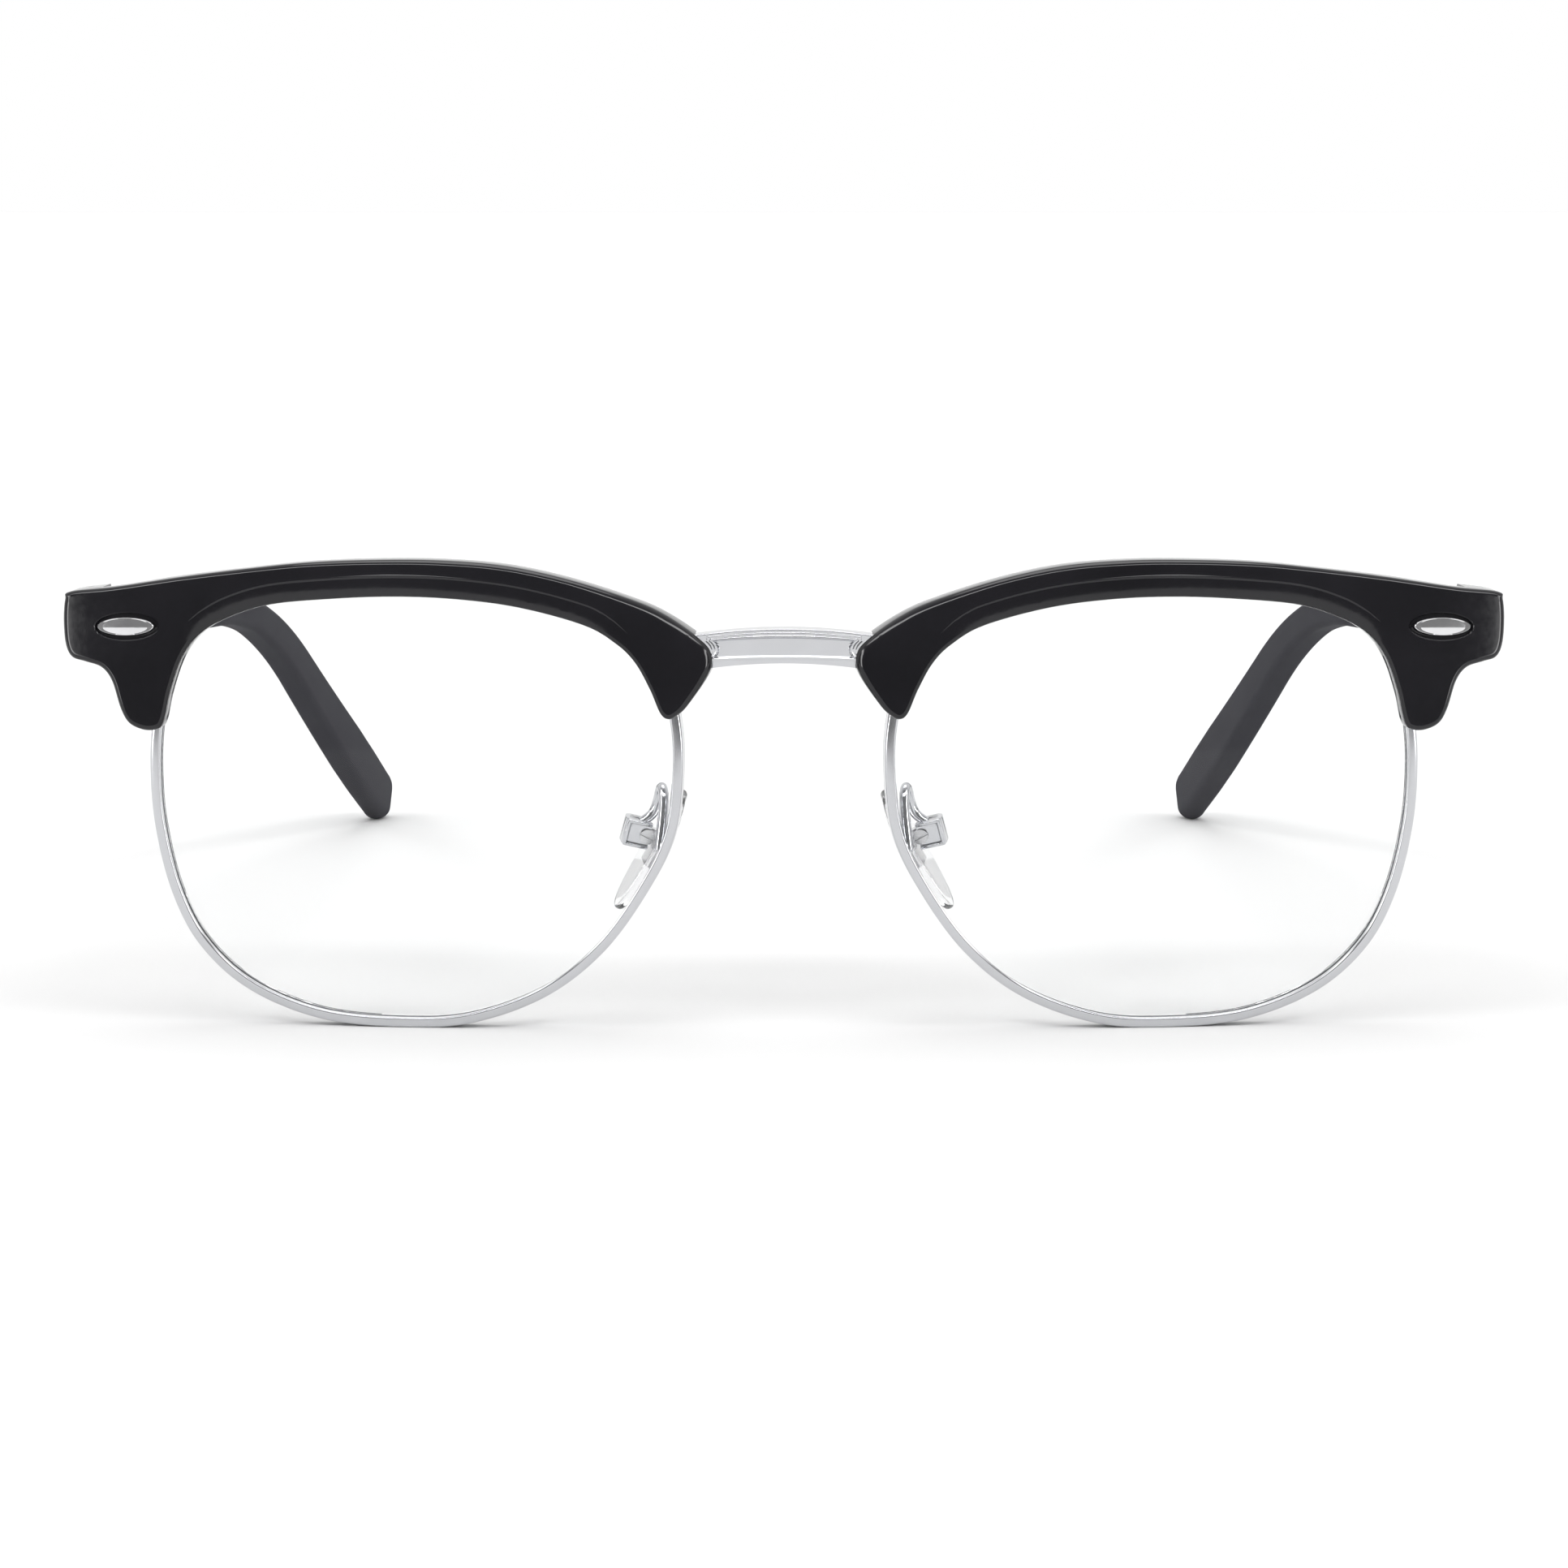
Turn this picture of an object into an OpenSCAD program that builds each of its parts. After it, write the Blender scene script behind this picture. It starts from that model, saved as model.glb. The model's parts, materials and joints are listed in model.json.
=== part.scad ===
// Half rim (browline) eyeglasses.
// A metal chassis of two eyewires and a bridge carries two brow pieces, two lenses, two adjustable
// nose pads and two folding temples on three-barrel hinges.
// Millimetres. +X is the wearer's left, -Y the front, +Z up. The origin lies on the table, under
// the middle of the whole outline, with the glasses resting on both rims and both temple tips.
// Every sub-part is drawn for the wearer's left side and mirrored for the right.

/* [Front] */
// Distance of each lens's centre line from the middle plane
lens_x = 35.6; // [35:0.1:37]
// Height of the lens surface's centre above the table
lens_z = 20; // [16:1:24]
// Radius of the front lens surface
base_radius = 130; // [110:5:180]
// Outward turn of each lens, in degrees
wrap = 4; // [3:0.5:5]
// Thickness of a lens
lens_t = 1.6; // [1.2:0.1:1.8]

/* [Eyewire] */
// Width of the wire, seen from the front
rim_w = 1.0; // [0.9:0.1:1.3]
// Depth of the wire, front to back
rim_depth = 2.2; // [2.0:0.1:2.6]
// Depth of the lens groove in the wire
groove = 0.5; // [0.3:0.1:0.6]

/* [Brow] */
// Thickness of the brow's lip in front of the wire
lip_t = 2.4; // [1.8:0.1:3]
// Clearance between the brow and the metal that it holds
brow_gap = 0.05; // [0.02:0.01:0.1]

/* [Temple] */
// Length of the temple along its middle line, from the hinge
temple_l = 141; // [138:1:148]
// Height of the temple at the hinge
temple_h = 6.8; // [6:0.1:7]
// Height of the temple at its waist, in the bend
waist_h = 3.8; // [3.6:0.1:5.2]
// Height of the temple at its tip
tip_h = 6.6; // [5:0.1:7]
// Thickness of the temple
temple_t = 3.2; // [2.8:0.1:3.4]
// Where the bend over the ear begins
bend_start = 54; // [50:1:60]
// Radius of the bend over the ear
bend_radius = 95; // [80:5:110]
// Angle of the bend over the ear, in degrees
bend_angle = 24.5; // [24:0.5:26]
// Inward turn of the temple at the hinge, in degrees
toe_in = 3.3; // [2:0.1:4]
// Inward bow of the temple, per millimetre squared
bow = 0.0004; // [0.0002:0.0001:0.0006]

/* [Hinge] */
// Distance of the hinge pin from the middle plane
hinge_x = 65; // [64.5:0.1:65.2]
// Distance of the hinge pin behind the lens surface
hinge_y = 11; // [10.5:0.5:12]
// Height of the hinge's middle above the table
hinge_z = 38.9; // [38.5:0.1:39.2]
// Radius of a hinge barrel
barrel_r = 1.35; // [1.2:0.05:1.38]
// Radius of the hinge screw
hinge_screw_r = 0.65; // [0.6:0.05:0.7]

/* [Nose pads] */
// Centre of the pad screw, from the middle plane
pad_x = 13.6; // [13.2:0.1:14]
// Centre of the pad screw, behind the lens surface
pad_y = 6.2; // [6:0.1:6.6]
// Height of the pad screw above the table
pad_z = 18.6; // [18:0.1:19]
// Length of a pad
pad_l = 13.5; // [12:0.5:15]
// Width of a pad
pad_w = 7.6; // [7:0.1:8.5]
// Slant of the pad's long side from upright, in degrees
pad_slant = 30; // [26:1:34]
// Turn of the pad's rear edge away from the nose, in degrees
pad_splay = 8; // [6:1:12]

/* [Hidden] */
$fn = 48;
ball_fn = 240;
running = 0.05;
cut = 40;

black = "#262529";
dark_grey = "#3e3e43";
metal = "#b9bcc0";
clear = [0.9, 0.95, 1, 0.35];
silicone = [0.94, 0.96, 0.98, 0.6];

// Outline of the eyewire, x outward from the lens's centre line and z from the table
rim_points = [
    [-25.7, 26], [-25.3, 31], [-24, 35], [-21.6, 38.4], [-17.2, 41.2], [-10.6, 43.1], [-2, 44],
    [7, 43.9], [14.4, 43.1], [19.4, 41.5], [23.2, 38.8], [25.2, 35], [26.2, 30.6], [26.6, 25.7],
    [26.2, 19.6], [24.6, 12.9], [21.8, 7.6], [17, 3.4], [10, 0.7], [2, 0], [-5, 0.5],
    [-12.3, 3.2], [-18, 7.7], [-22.4, 13.8], [-25, 19.4]
];

// Outline of the brow in the same axes: top edge, nose, lens edge, lug and end piece
brow_points = [
    [34.5, 42.3], [29.8, 42.9], [23.1, 44], [16.6, 44.9], [10.3, 45.6], [4, 45.9], [-2.4, 45.9],
    [-8.7, 45.4], [-14.8, 44.1], [-21, 42.1], [-24.2, 40.6], [-27.2, 38.5], [-28.5, 37],
    [-28.3, 35], [-26.4, 32.1], [-25.4, 31.1], [-24.5, 30.7], [-23.7, 31.3], [-22.7, 33.6],
    [-21.3, 36.1], [-19.5, 37.9], [-16.4, 39.7], [-10.2, 41.4], [-4, 42.2], [2.2, 42.4],
    [8.5, 42.1], [14.1, 41.5], [18.2, 40.2], [21, 38.6], [22.8, 36.3], [24, 33], [24.7, 30],
    [25.4, 29.3], [26.7, 29.2], [28.2, 29.8], [29.1, 31.2], [30, 33.8], [31.1, 35.1],
    [32.8, 35.6], [34.2, 36], [34.9, 37.2], [35.15, 39.4], [35.05, 41.5]
];

// Route of the pad arm's wire, from the back of the eyewire to the pad box
arm_route = [
    [12.2, 2.95, 17.4], [12.05, 3.1, 18.6], [11.85, 3.3, 20.4], [11.75, 3.5, 21.8],
    [11.8, 4, 22.9], [11.95, 4.7, 23.3], [12.15, 5.4, 22.9], [12.4, 5.8, 21.8], [12.9, 5.9, 20.6],
    [13.9, 5.7, 19.8]
];
pad_wire_r = 0.5;

// Pad and its box, in the pad's axes
pad_face_x = -2.55;
pad_t = 1.55;
pad_centre = [0.8, -1.3];
pad_crown_r = 30;
lug_x = [-2, -1.55];
pad_head_r = 0.75;
box_turn = 16;
box_x = [-0.3, 2.3];
box_half = [1.45, 1.3];
box_wall = 0.5;

// Bridge
bridge_top = 39.4;
bridge_front_z = 36.4;
bridge_rear_z = 35.9;
bridge_plan_r = 60;
bridge_lead = 0.4;
bridge_t = 2.2;
bridge_reach = 14;
brow_screw_x = 9.3;
brow_screw_y = 2.72;
brow_screw_z = 36.8;
brow_screw_tip = -0.1;
small_screw_r = 0.5;
small_head_r = 0.95;
small_head_t = 0.6;

// Closing block of the eyewire, in the lens's axes
block_x = [25.2, 28];
block_z = [31, 34.4];
block_mid_y = 4.6;
block_split_z = 32.7;
block_split_t = 0.3;

// End piece and hinge
butt_gap = 0.1;
inner_gap = 1.4;
end_piece_x = 61.4 - lens_x;
end_piece_z = 35.2;
step_back = 2.8;
leaf_t = 1.2;
barrel_h = 1.9;
screw_head_r = 1.1;
screw_head_t = 0.55;
rivet_r = 0.4;

// Emblem stud, an ellipse
emblem_at = [64.1, 39.6];
emblem_w = 6;
emblem_h = 1.9;
emblem_recess = 0.4;
emblem_border = 0.35;
emblem_proud = 0.3;
emblem_crown_r = 15;
emblem_pin_x = 1.3;
emblem_pin_r = 0.3;
emblem_pin_end = 1.6;

// Temple
tip_r = tip_h / 2;
neck_at = 25;
neck_h = 4.8;
waist_at = 70;
core_h = 1.8;
core_t = 1;
core_stop = 14;
arc_l = bend_radius * bend_angle * PI / 180;
arm_reach = bend_start + bend_radius * sin(bend_angle)
    + (temple_l - bend_start - arc_l) * cos(bend_angle);
tip_back = arm_reach - tip_r * cos(bend_angle);
tip_drop = bend_radius * (1 - cos(bend_angle))
    + (temple_l - bend_start - arc_l - tip_r) * sin(bend_angle);
// Downward slope that rests the tip on the table
slope = atan2(tip_back, tip_drop) - acos((hinge_z - tip_r) / norm([tip_back, tip_drop]));
rear_y = hinge_y + tip_back * cos(slope) - tip_drop * sin(slope) + tip_r;
front_lead = 1.4;
middle_y = (rear_y - front_lead) / 2;

// ---- curves and frames ----

function wrapped(points, i) = points[(i + len(points)) % len(points)];
function spline_point(a, b, c, d, t) =
    b + 0.5 * t * (c - a + t * (2 * a - 5 * b + 4 * c - d + t * (3 * (b - c) + d - a)));
function closed_spline(points, steps) = [
    for (i = [0:len(points) - 1], k = [0:steps - 1])
        spline_point(wrapped(points, i - 1), wrapped(points, i), wrapped(points, i + 1),
            wrapped(points, i + 2), k / steps)
];
function unit(v) = v / norm(v);

module rim_outline(grow = 0) offset(delta = grow) polygon(closed_spline(rim_points, 4));
module brow_outline() polygon(closed_spline(brow_points, 3));

// Left and right sides, moved so that the origin is under the middle
module left() translate([0, -middle_y, 0]) children();
module right() translate([0, -middle_y, 0]) mirror([1, 0, 0]) children();

// The lens's own axes: x across, y back, z from the table
module in_lens() translate([lens_x, 0, 0]) rotate([0, 0, wrap]) children();
// The temple's own axes: the hinge pin along z, the arm along y
module in_arm() translate([hinge_x, hinge_y, hinge_z]) rotate([-slope, 0, 0]) children();
// The rear leaf's axes, on the temple's inner face
module in_leaf() in_arm() translate([inner_gap, 0, 0]) rotate([0, 0, toe_in]) children();
// The pad's axes: the screw along y, the pad on the -x side
module in_pad() translate([pad_x, pad_y, pad_z]) rotate([0, -pad_slant, 0])
    rotate([0, 0, -pad_splay]) children();

// A flat outline in x and z, drawn out from y0 back to y1
module prism(y0, y1) translate([0, y1, 0]) rotate([90, 0, 0]) linear_extrude(y1 - y0) children();
module ball(depth) translate([0, base_radius, lens_z]) sphere(base_radius - depth, $fn = ball_fn);
// Space between two depths behind the front lens surface
module shell(front, back) difference() {
    ball(front);
    ball(back);
}
module rod_y(r, y0, y1) translate([0, y0, 0]) rotate([-90, 0, 0]) cylinder(r = r, h = y1 - y0);
module rod_x(r, x0, x1) translate([x0, 0, 0]) rotate([0, 90, 0]) cylinder(r = r, h = x1 - x0);
module rod_z(r, z0, z1) translate([0, 0, z0]) cylinder(r = r, h = z1 - z0);
module box(x, y, z) translate([x[0], y[0], z[0]]) cube([x[1] - x[0], y[1] - y[0], z[1] - z[0]]);

// ---- eyewire and lens ----

module closing_block(grow = 0) intersection() {
    box(block_x + [-grow, grow], [-2, cut], block_z + [-grow, grow]);
    ball(-grow);
}

module closing_axis() translate([(block_x[0] + block_x[1]) / 2 + 0.6, block_mid_y, 0]) children();

module eyewire() color(metal) in_lens() difference() {
    intersection() {
        union() {
            prism(-3, 12) difference() {
                rim_outline();
                rim_outline(-rim_w);
            }
            closing_block();
        }
        shell(0, rim_depth);
    }
    intersection() {
        prism(-3, 12) rim_outline(groove - rim_w);
        shell(0.65, 1.35);
    }
    box([20, 30], [-3, 12], [block_split_z - block_split_t / 2, block_split_z + block_split_t / 2]);
    closing_axis() rod_z(small_screw_r - 0.05, block_z[0] - 1, block_z[1] + 1);
}

module lens() color(clear) in_lens() {
    intersection() {
        prism(-3, 12) rim_outline(-rim_w - 0.05);
        shell(0.2, 0.2 + lens_t);
    }
    intersection() {
        prism(-3, 12) rim_outline(groove - 0.1 - rim_w);
        shell(0.75, 1.25);
    }
}

module rim_screw() color(metal) in_lens() closing_axis() {
    rod_z(small_screw_r - 0.05, block_z[0] - 0.01, block_z[1]);
    difference() {
        rod_z(0.75, block_z[0] - 0.6, block_z[0]);
        box([-2, 2], [-0.12, 0.12], [block_z[0] - 0.8, block_z[0] - 0.35]);
    }
}

// ---- brow ----

module brow() color(black) difference() {
    union() {
        in_lens() intersection() {
            prism(-6, 12) brow_outline();
            shell(-lip_t, rim_depth);
        }
        end_piece();
    }
    in_lens() {
        intersection() {
            prism(-6, 20) rim_outline(brow_gap);
            ball(-brow_gap);
        }
        closing_block(brow_gap);
        closing_axis() rod_z(0.9, block_z[0] - 0.7, block_z[0]);
        closing_axis() box([-0.9, 0.9], [0, 5], [block_z[0] - 0.7, block_z[0]]);
    }
    bridge_bar(brow_gap, cut);
    translate([brow_screw_x, 0, brow_screw_z]) rod_y(small_screw_r, brow_screw_tip, 4);
    emblem_axes() {
        prism(-2, emblem_recess) emblem_outline(emblem_border);
        emblem_pins(0.02);
    }
    in_arm() {
        box([-cut, cut], [0, cut], [-cut, cut]);
        box([-cut, inner_gap], [-step_back, cut], [-cut, cut]);
        rivet_row(-5, -1) rod_y(rivet_r, 0, 4);
    }
}

// The brow's outer end, which runs back to the temple's front
module end_piece() in_lens() intersection() {
    prism(2, 16) brow_outline();
    box([end_piece_x, cut], [2, 16], [end_piece_z, cut + 10]);
}

// ---- bridge ----

function bridge_edge(z, drop, x) = z - drop * pow(x / 7, 2);
function bridge_outline(z_low, drop_low, grow) = concat(
    [for (x = [-bridge_reach:2:bridge_reach]) [x, bridge_edge(bridge_top, 0.45, x) + grow]],
    [for (x = [bridge_reach:-2:-bridge_reach]) [x, bridge_edge(z_low, drop_low, x) - grow]]
);

// A bar bowed forwards in plan, with its front edge a little shorter than its rear
module bridge_bar(grow, depth) intersection() {
    union() {
        prism(-3, 20) polygon(bridge_outline(bridge_front_z, 0.2, grow));
        prism(0.8 - grow, 20) polygon(bridge_outline(bridge_rear_z, 0.5, grow));
    }
    translate([0, bridge_plan_r - bridge_lead, 0]) difference() {
        rod_z(bridge_plan_r + grow, 0, 60, $fn = ball_fn);
        rod_z(bridge_plan_r - depth, 0, 60, $fn = ball_fn);
    }
}

module bridge() color(metal) left() difference() {
    bridge_bar(0, bridge_t);
    for (s = [0, 1]) mirror([s, 0, 0]) {
        in_lens() prism(-6, 20) rim_outline();
        translate([brow_screw_x, 0, brow_screw_z]) rod_y(small_screw_r + 0.05, -3, 6);
    }
}

module brow_screw() color(metal) translate([brow_screw_x, 0, brow_screw_z]) difference() {
    union() {
        rod_y(small_screw_r, brow_screw_tip, brow_screw_y);
        rod_y(small_head_r, brow_screw_y, brow_screw_y + small_head_t);
    }
    box([-2, 2], [brow_screw_y + small_head_t / 2, 4], [-0.12, 0.12]);
}

// ---- emblem ----

module emblem_axes() {
    x = emblem_at[0] - lens_x;
    z = emblem_at[1] - lens_z;
    r = base_radius + lip_t;
    yaw = asin(x / r);
    pitch = asin(z / r);
    in_lens() translate([0, base_radius, lens_z]) rotate([-pitch, 0, 0]) rotate([0, 0, yaw])
        translate([0, -r, 0]) children();
}

module emblem_outline(grow) polygon([
    for (t = [0:7.5:352.5]) [(emblem_w / 2 + grow) * cos(t), (emblem_h / 2 + grow) * sin(t)]
]);

module emblem_pins(grow) for (x = emblem_pin_x * [-1, 1])
    translate([x, 0, 0]) rod_y(emblem_pin_r + grow, 0.1, emblem_pin_end);

module emblem() color(metal) emblem_axes() {
    intersection() {
        prism(-0.6, emblem_recess) emblem_outline(0);
        translate([0, emblem_crown_r - emblem_proud, 0]) sphere(emblem_crown_r, $fn = ball_fn);
    }
    emblem_pins(0);
}

// ---- hinge ----

module rivet_row(y, x) for (z = [-1.5, 1.5]) translate([x - 1.4, y, z]) children();

module hinge_front_leaf() color(metal) in_arm() difference() {
    union() {
        box([-3.4, 1.2], [-step_back, leaf_t - step_back], [-2.95, 2.95]);
        for (s = [-1, 1]) translate([0, 0, s * (barrel_h + running)]) {
            rod_z(barrel_r, -barrel_h / 2, barrel_h / 2);
            box([-1.1, 1.2], [-step_back + 0.5, 0], barrel_h / 2 * [-1, 1]);
        }
    }
    rod_z(hinge_screw_r, -5, 5);
    box([-2, 2], [leaf_t - step_back, 3], (barrel_h / 2 + running) * [-1, 1]);
    rivet_row(-5, -1) rod_y(rivet_r, 0, 4);
}

module front_rivets() color(metal) in_arm() rivet_row(0, -1) {
    rod_y(rivet_r, -5, -step_back + leaf_t);
    intersection() {
        translate([0, leaf_t - step_back - 0.7, 0]) sphere(1.05);
        rod_y(1, leaf_t - step_back, 0);
    }
}

module hinge_screw() color(metal) in_arm() difference() {
    union() {
        rod_z(hinge_screw_r, -barrel_h * 1.5 - running, barrel_h * 1.5 + running);
        rod_z(screw_head_r, barrel_h * 1.5 + running, barrel_h * 1.5 + running + screw_head_t);
    }
    box([-2, 2], [-0.15, 0.15], [barrel_h * 1.5 + 0.35, 5]);
}

module rear_plate(grow = 0) in_leaf()
    box([-0.8, 0.4 + grow], [2.2 - grow, 13 + grow], (2.3 + grow) * [-1, 1]);

module hinge_rear_leaf() color(metal) difference() {
    union() {
        rear_plate();
        in_arm() {
            rod_z(barrel_r, -barrel_h / 2, barrel_h / 2);
            box([0, 1.15], [0, 3.2], barrel_h / 2 * [-1, 1]);
        }
    }
    in_arm() rod_z(hinge_screw_r + running, -5, 5);
    rear_rivet_row() rod_x(rivet_r, -2, 2);
}

module rear_rivet_row() in_leaf() for (y = [6, 10.5]) translate([0, y, 0]) children();

module rear_rivets() color(metal) rear_rivet_row() {
    rod_x(rivet_r, -0.8, 0.95);
    intersection() {
        translate([-0.1, 0, 0]) sphere(1.05);
        rod_x(1, -2, -0.8);
    }
}

// ---- temple ----

// The middle line seen from the side, as [distance back, height], at a distance s along it
function arm_turn(s) = max(0, min((s - bend_start) / bend_radius * 180 / PI, bend_angle));
function arm_point(s) =
    let (a = arm_turn(s), rest = max(0, s - bend_start - arc_l))
    s < bend_start ? [s, 0] : [
        bend_start + bend_radius * sin(a) + rest * cos(a),
        -bend_radius * (1 - cos(a)) - rest * sin(a)
    ];
function arm_normal(s) = [sin(arm_turn(s)), cos(arm_turn(s))];
function arm_half(s) =
    lookup(s, [
        [0, temple_h / 2], [neck_at, neck_h / 2], [waist_at, waist_h / 2],
        [temple_l - 12, tip_r], [temple_l, tip_r]
    ]);

// Stations along the arm: the straight stretch, the bend and the straight hook
function arm_stations(first, last) = concat(
    [first, 20, 40],
    [for (i = [0:10]) bend_start + arc_l * i / 10],
    [temple_l - 30, last]
);
function arm_edge(stations, side, scale) =
    [for (s = stations) arm_point(s) + side * arm_half(s) * scale * arm_normal(s)];
function arm_tip() = [
    for (t = [75:-15:-75])
        arm_point(temple_l - tip_r) + tip_r * [cos(t - bend_angle), sin(t - bend_angle)]
];
function reversed(list) = [for (i = [len(list) - 1:-1:0]) list[i]];

// Outer face of the temple in plan
function arm_face(y) = inner_gap + temple_t - tan(toe_in) * y - bow * y * y;
module arm_plan(inset, first) linear_extrude(120, center = true) polygon(concat(
    [for (y = [first, for (i = [10:10:160]) i]) [arm_face(y) - inset, y]],
    reversed([for (y = [first, for (i = [10:10:160]) i]) [arm_face(y) - temple_t + inset, y]])
));
module arm_side(points) rotate([90, 0, 90]) linear_extrude(cut, center = true) polygon(points);

module temple() color(dark_grey) difference() {
    in_arm() intersection() {
        arm_plan(0, butt_gap);
        arm_side(concat(
            arm_edge(arm_stations(butt_gap, temple_l - tip_r), 1, 1),
            arm_tip(),
            reversed(arm_edge(arm_stations(butt_gap, temple_l - tip_r), -1, 1))
        ));
    }
    core_wire(-1, 0.05);
    rear_plate(0.02);
    rear_rivet_row() rod_x(rivet_r, -2, 1);
}

module core_wire(first, grow) {
    half = core_h / 2 + grow;
    stations = arm_stations(first, temple_l - core_stop + grow);
    in_arm() intersection() {
        arm_plan((temple_t - core_t) / 2 - grow, first);
        arm_side(concat(
            [for (s = stations) arm_point(s) + half * arm_normal(s)],
            reversed([for (s = stations) arm_point(s) - half * arm_normal(s)])
        ));
    }
}

module temple_core() color(metal) core_wire(0.4, 0);

// ---- nose pad ----

module pad_outline() polygon([
    for (t = [0:9:351]) [
        pad_centre[0] + pad_w / 2 * sin(t) * (1 - 0.1 * cos(t)),
        pad_centre[1] + pad_l / 2 * cos(t)
    ]
]);

module pad_lug(grow) {
    box(lug_x + [-grow, grow], (1.6 + grow) * [-1, 1], (2.6 + grow) * [-1, 1]);
    box([lug_x[1] - 0.1, 0], (0.6 + grow) * [-1, 1], (0.8 + grow) * [-1, 1]);
}

module nose_pad() color(silicone) in_pad() difference() {
    intersection() {
        translate([pad_face_x, 0, 0]) rotate([90, 0, 90]) linear_extrude(pad_t) pad_outline();
        translate([pad_crown_r + pad_face_x, pad_centre[0], pad_centre[1]])
            sphere(pad_crown_r, $fn = ball_fn);
    }
    pad_lug(0.03);
}

module pad_insert() color(metal) in_pad() difference() {
    union() {
        pad_lug(0);
        rod_y(pad_head_r, -0.6, 0.6);
    }
    rod_y(small_screw_r, -2, 2);
}

module pad_box() color(metal) in_pad() rotate([0, box_turn, 0]) difference() {
    box(box_x, box_half[0] * [-1, 1], box_half[1] * [-1, 1]);
    box([-2, box_x[1] - box_wall], [-0.72, 0.72], [-3, 3]);
    rod_y(small_screw_r - 0.05, -3, 3);
}

module pad_screw() color(metal) in_pad() difference() {
    union() {
        rod_y(small_screw_r - 0.05, -box_half[0] - 0.05, box_half[0]);
        rod_y(pad_head_r, -box_half[0] - 0.55, -box_half[0]);
    }
    box([-2, 2], [-3, -box_half[0] - 0.3], [-0.12, 0.12]);
}

// A round wire along the route, as rings joined by flat faces
module pad_arm() color(metal) {
    sides = 10;
    steps = 3;
    last = len(arm_route) - 1;
    path = concat(
        [for (i = [0:last - 1], k = [0:steps - 1]) spline_point(
            arm_route[max(i - 1, 0)], arm_route[i], arm_route[i + 1],
            arm_route[min(i + 2, last)], k / steps)],
        [arm_route[last]]
    );
    n = len(path);
    rings = [for (i = [0:n - 1])
        let (
            t = unit(path[min(i + 1, n - 1)] - path[max(i - 1, 0)]),
            u = unit(cross(t, [0, 1, 0])),
            v = cross(t, u)
        )
        for (k = [0:sides - 1])
            path[i] + pad_wire_r * (cos(k * 360 / sides) * u + sin(k * 360 / sides) * v)
    ];
    walls = [for (i = [0:n - 2], k = [0:sides - 1])
        let (a = i * sides + k, b = i * sides + (k + 1) % sides)
        [a + sides, b + sides, b, a]
    ];
    polyhedron(rings, concat(
        walls,
        [[for (k = [0:sides - 1]) k]],
        [[for (k = [sides - 1:-1:0]) (n - 1) * sides + k]]
    ));
}

// ---- left and right sub-parts ----

module brow_left() left() brow();
module brow_right() right() brow();
module eyewire_left() left() eyewire();
module eyewire_right() right() eyewire();
module lens_left() left() lens();
module lens_right() right() lens();
module brow_screw_left() left() brow_screw();
module brow_screw_right() right() brow_screw();
module rim_screw_left() left() rim_screw();
module rim_screw_right() right() rim_screw();
module emblem_left() left() emblem();
module emblem_right() right() emblem();
module hinge_front_leaf_left() left() hinge_front_leaf();
module hinge_front_leaf_right() right() hinge_front_leaf();
module front_rivets_left() left() front_rivets();
module front_rivets_right() right() front_rivets();
module hinge_screw_left() left() hinge_screw();
module hinge_screw_right() right() hinge_screw();
module pad_arm_left() left() pad_arm();
module pad_arm_right() right() pad_arm();
module pad_box_left() left() pad_box();
module pad_box_right() right() pad_box();
module pad_screw_left() left() pad_screw();
module pad_screw_right() right() pad_screw();
module nose_pad_left() left() nose_pad();
module nose_pad_right() right() nose_pad();
module pad_insert_left() left() pad_insert();
module pad_insert_right() right() pad_insert();
module temple_left() left() temple();
module temple_right() right() temple();
module temple_core_left() left() temple_core();
module temple_core_right() right() temple_core();
module hinge_rear_leaf_left() left() hinge_rear_leaf();
module hinge_rear_leaf_right() right() hinge_rear_leaf();
module rear_rivets_left() left() rear_rivets();
module rear_rivets_right() right() rear_rivets();

brow_left();
brow_right();
eyewire_left();
eyewire_right();
lens_left();
lens_right();
bridge();
brow_screw_left();
brow_screw_right();
rim_screw_left();
rim_screw_right();
emblem_left();
emblem_right();
hinge_front_leaf_left();
hinge_front_leaf_right();
front_rivets_left();
front_rivets_right();
hinge_screw_left();
hinge_screw_right();
pad_arm_left();
pad_arm_right();
pad_box_left();
pad_box_right();
pad_screw_left();
pad_screw_right();
nose_pad_left();
nose_pad_right();
pad_insert_left();
pad_insert_right();
temple_left();
temple_right();
temple_core_left();
temple_core_right();
hinge_rear_leaf_left();
hinge_rear_leaf_right();
rear_rivets_left();
rear_rivets_right();
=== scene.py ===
"""Half rim eyeglasses lying open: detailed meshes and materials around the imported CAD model.

Shapes are worked out in the part's own millimetres, for the wearer's left side (+x), with the lens
surface at y = 0 and the table at z = 0. add_piece() mirrors them for the right side.
"""
import json
import math

import bmesh
import bpy
import numpy as np
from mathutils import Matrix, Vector
from mathutils.geometry import delaunay_2d_cdt


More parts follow.
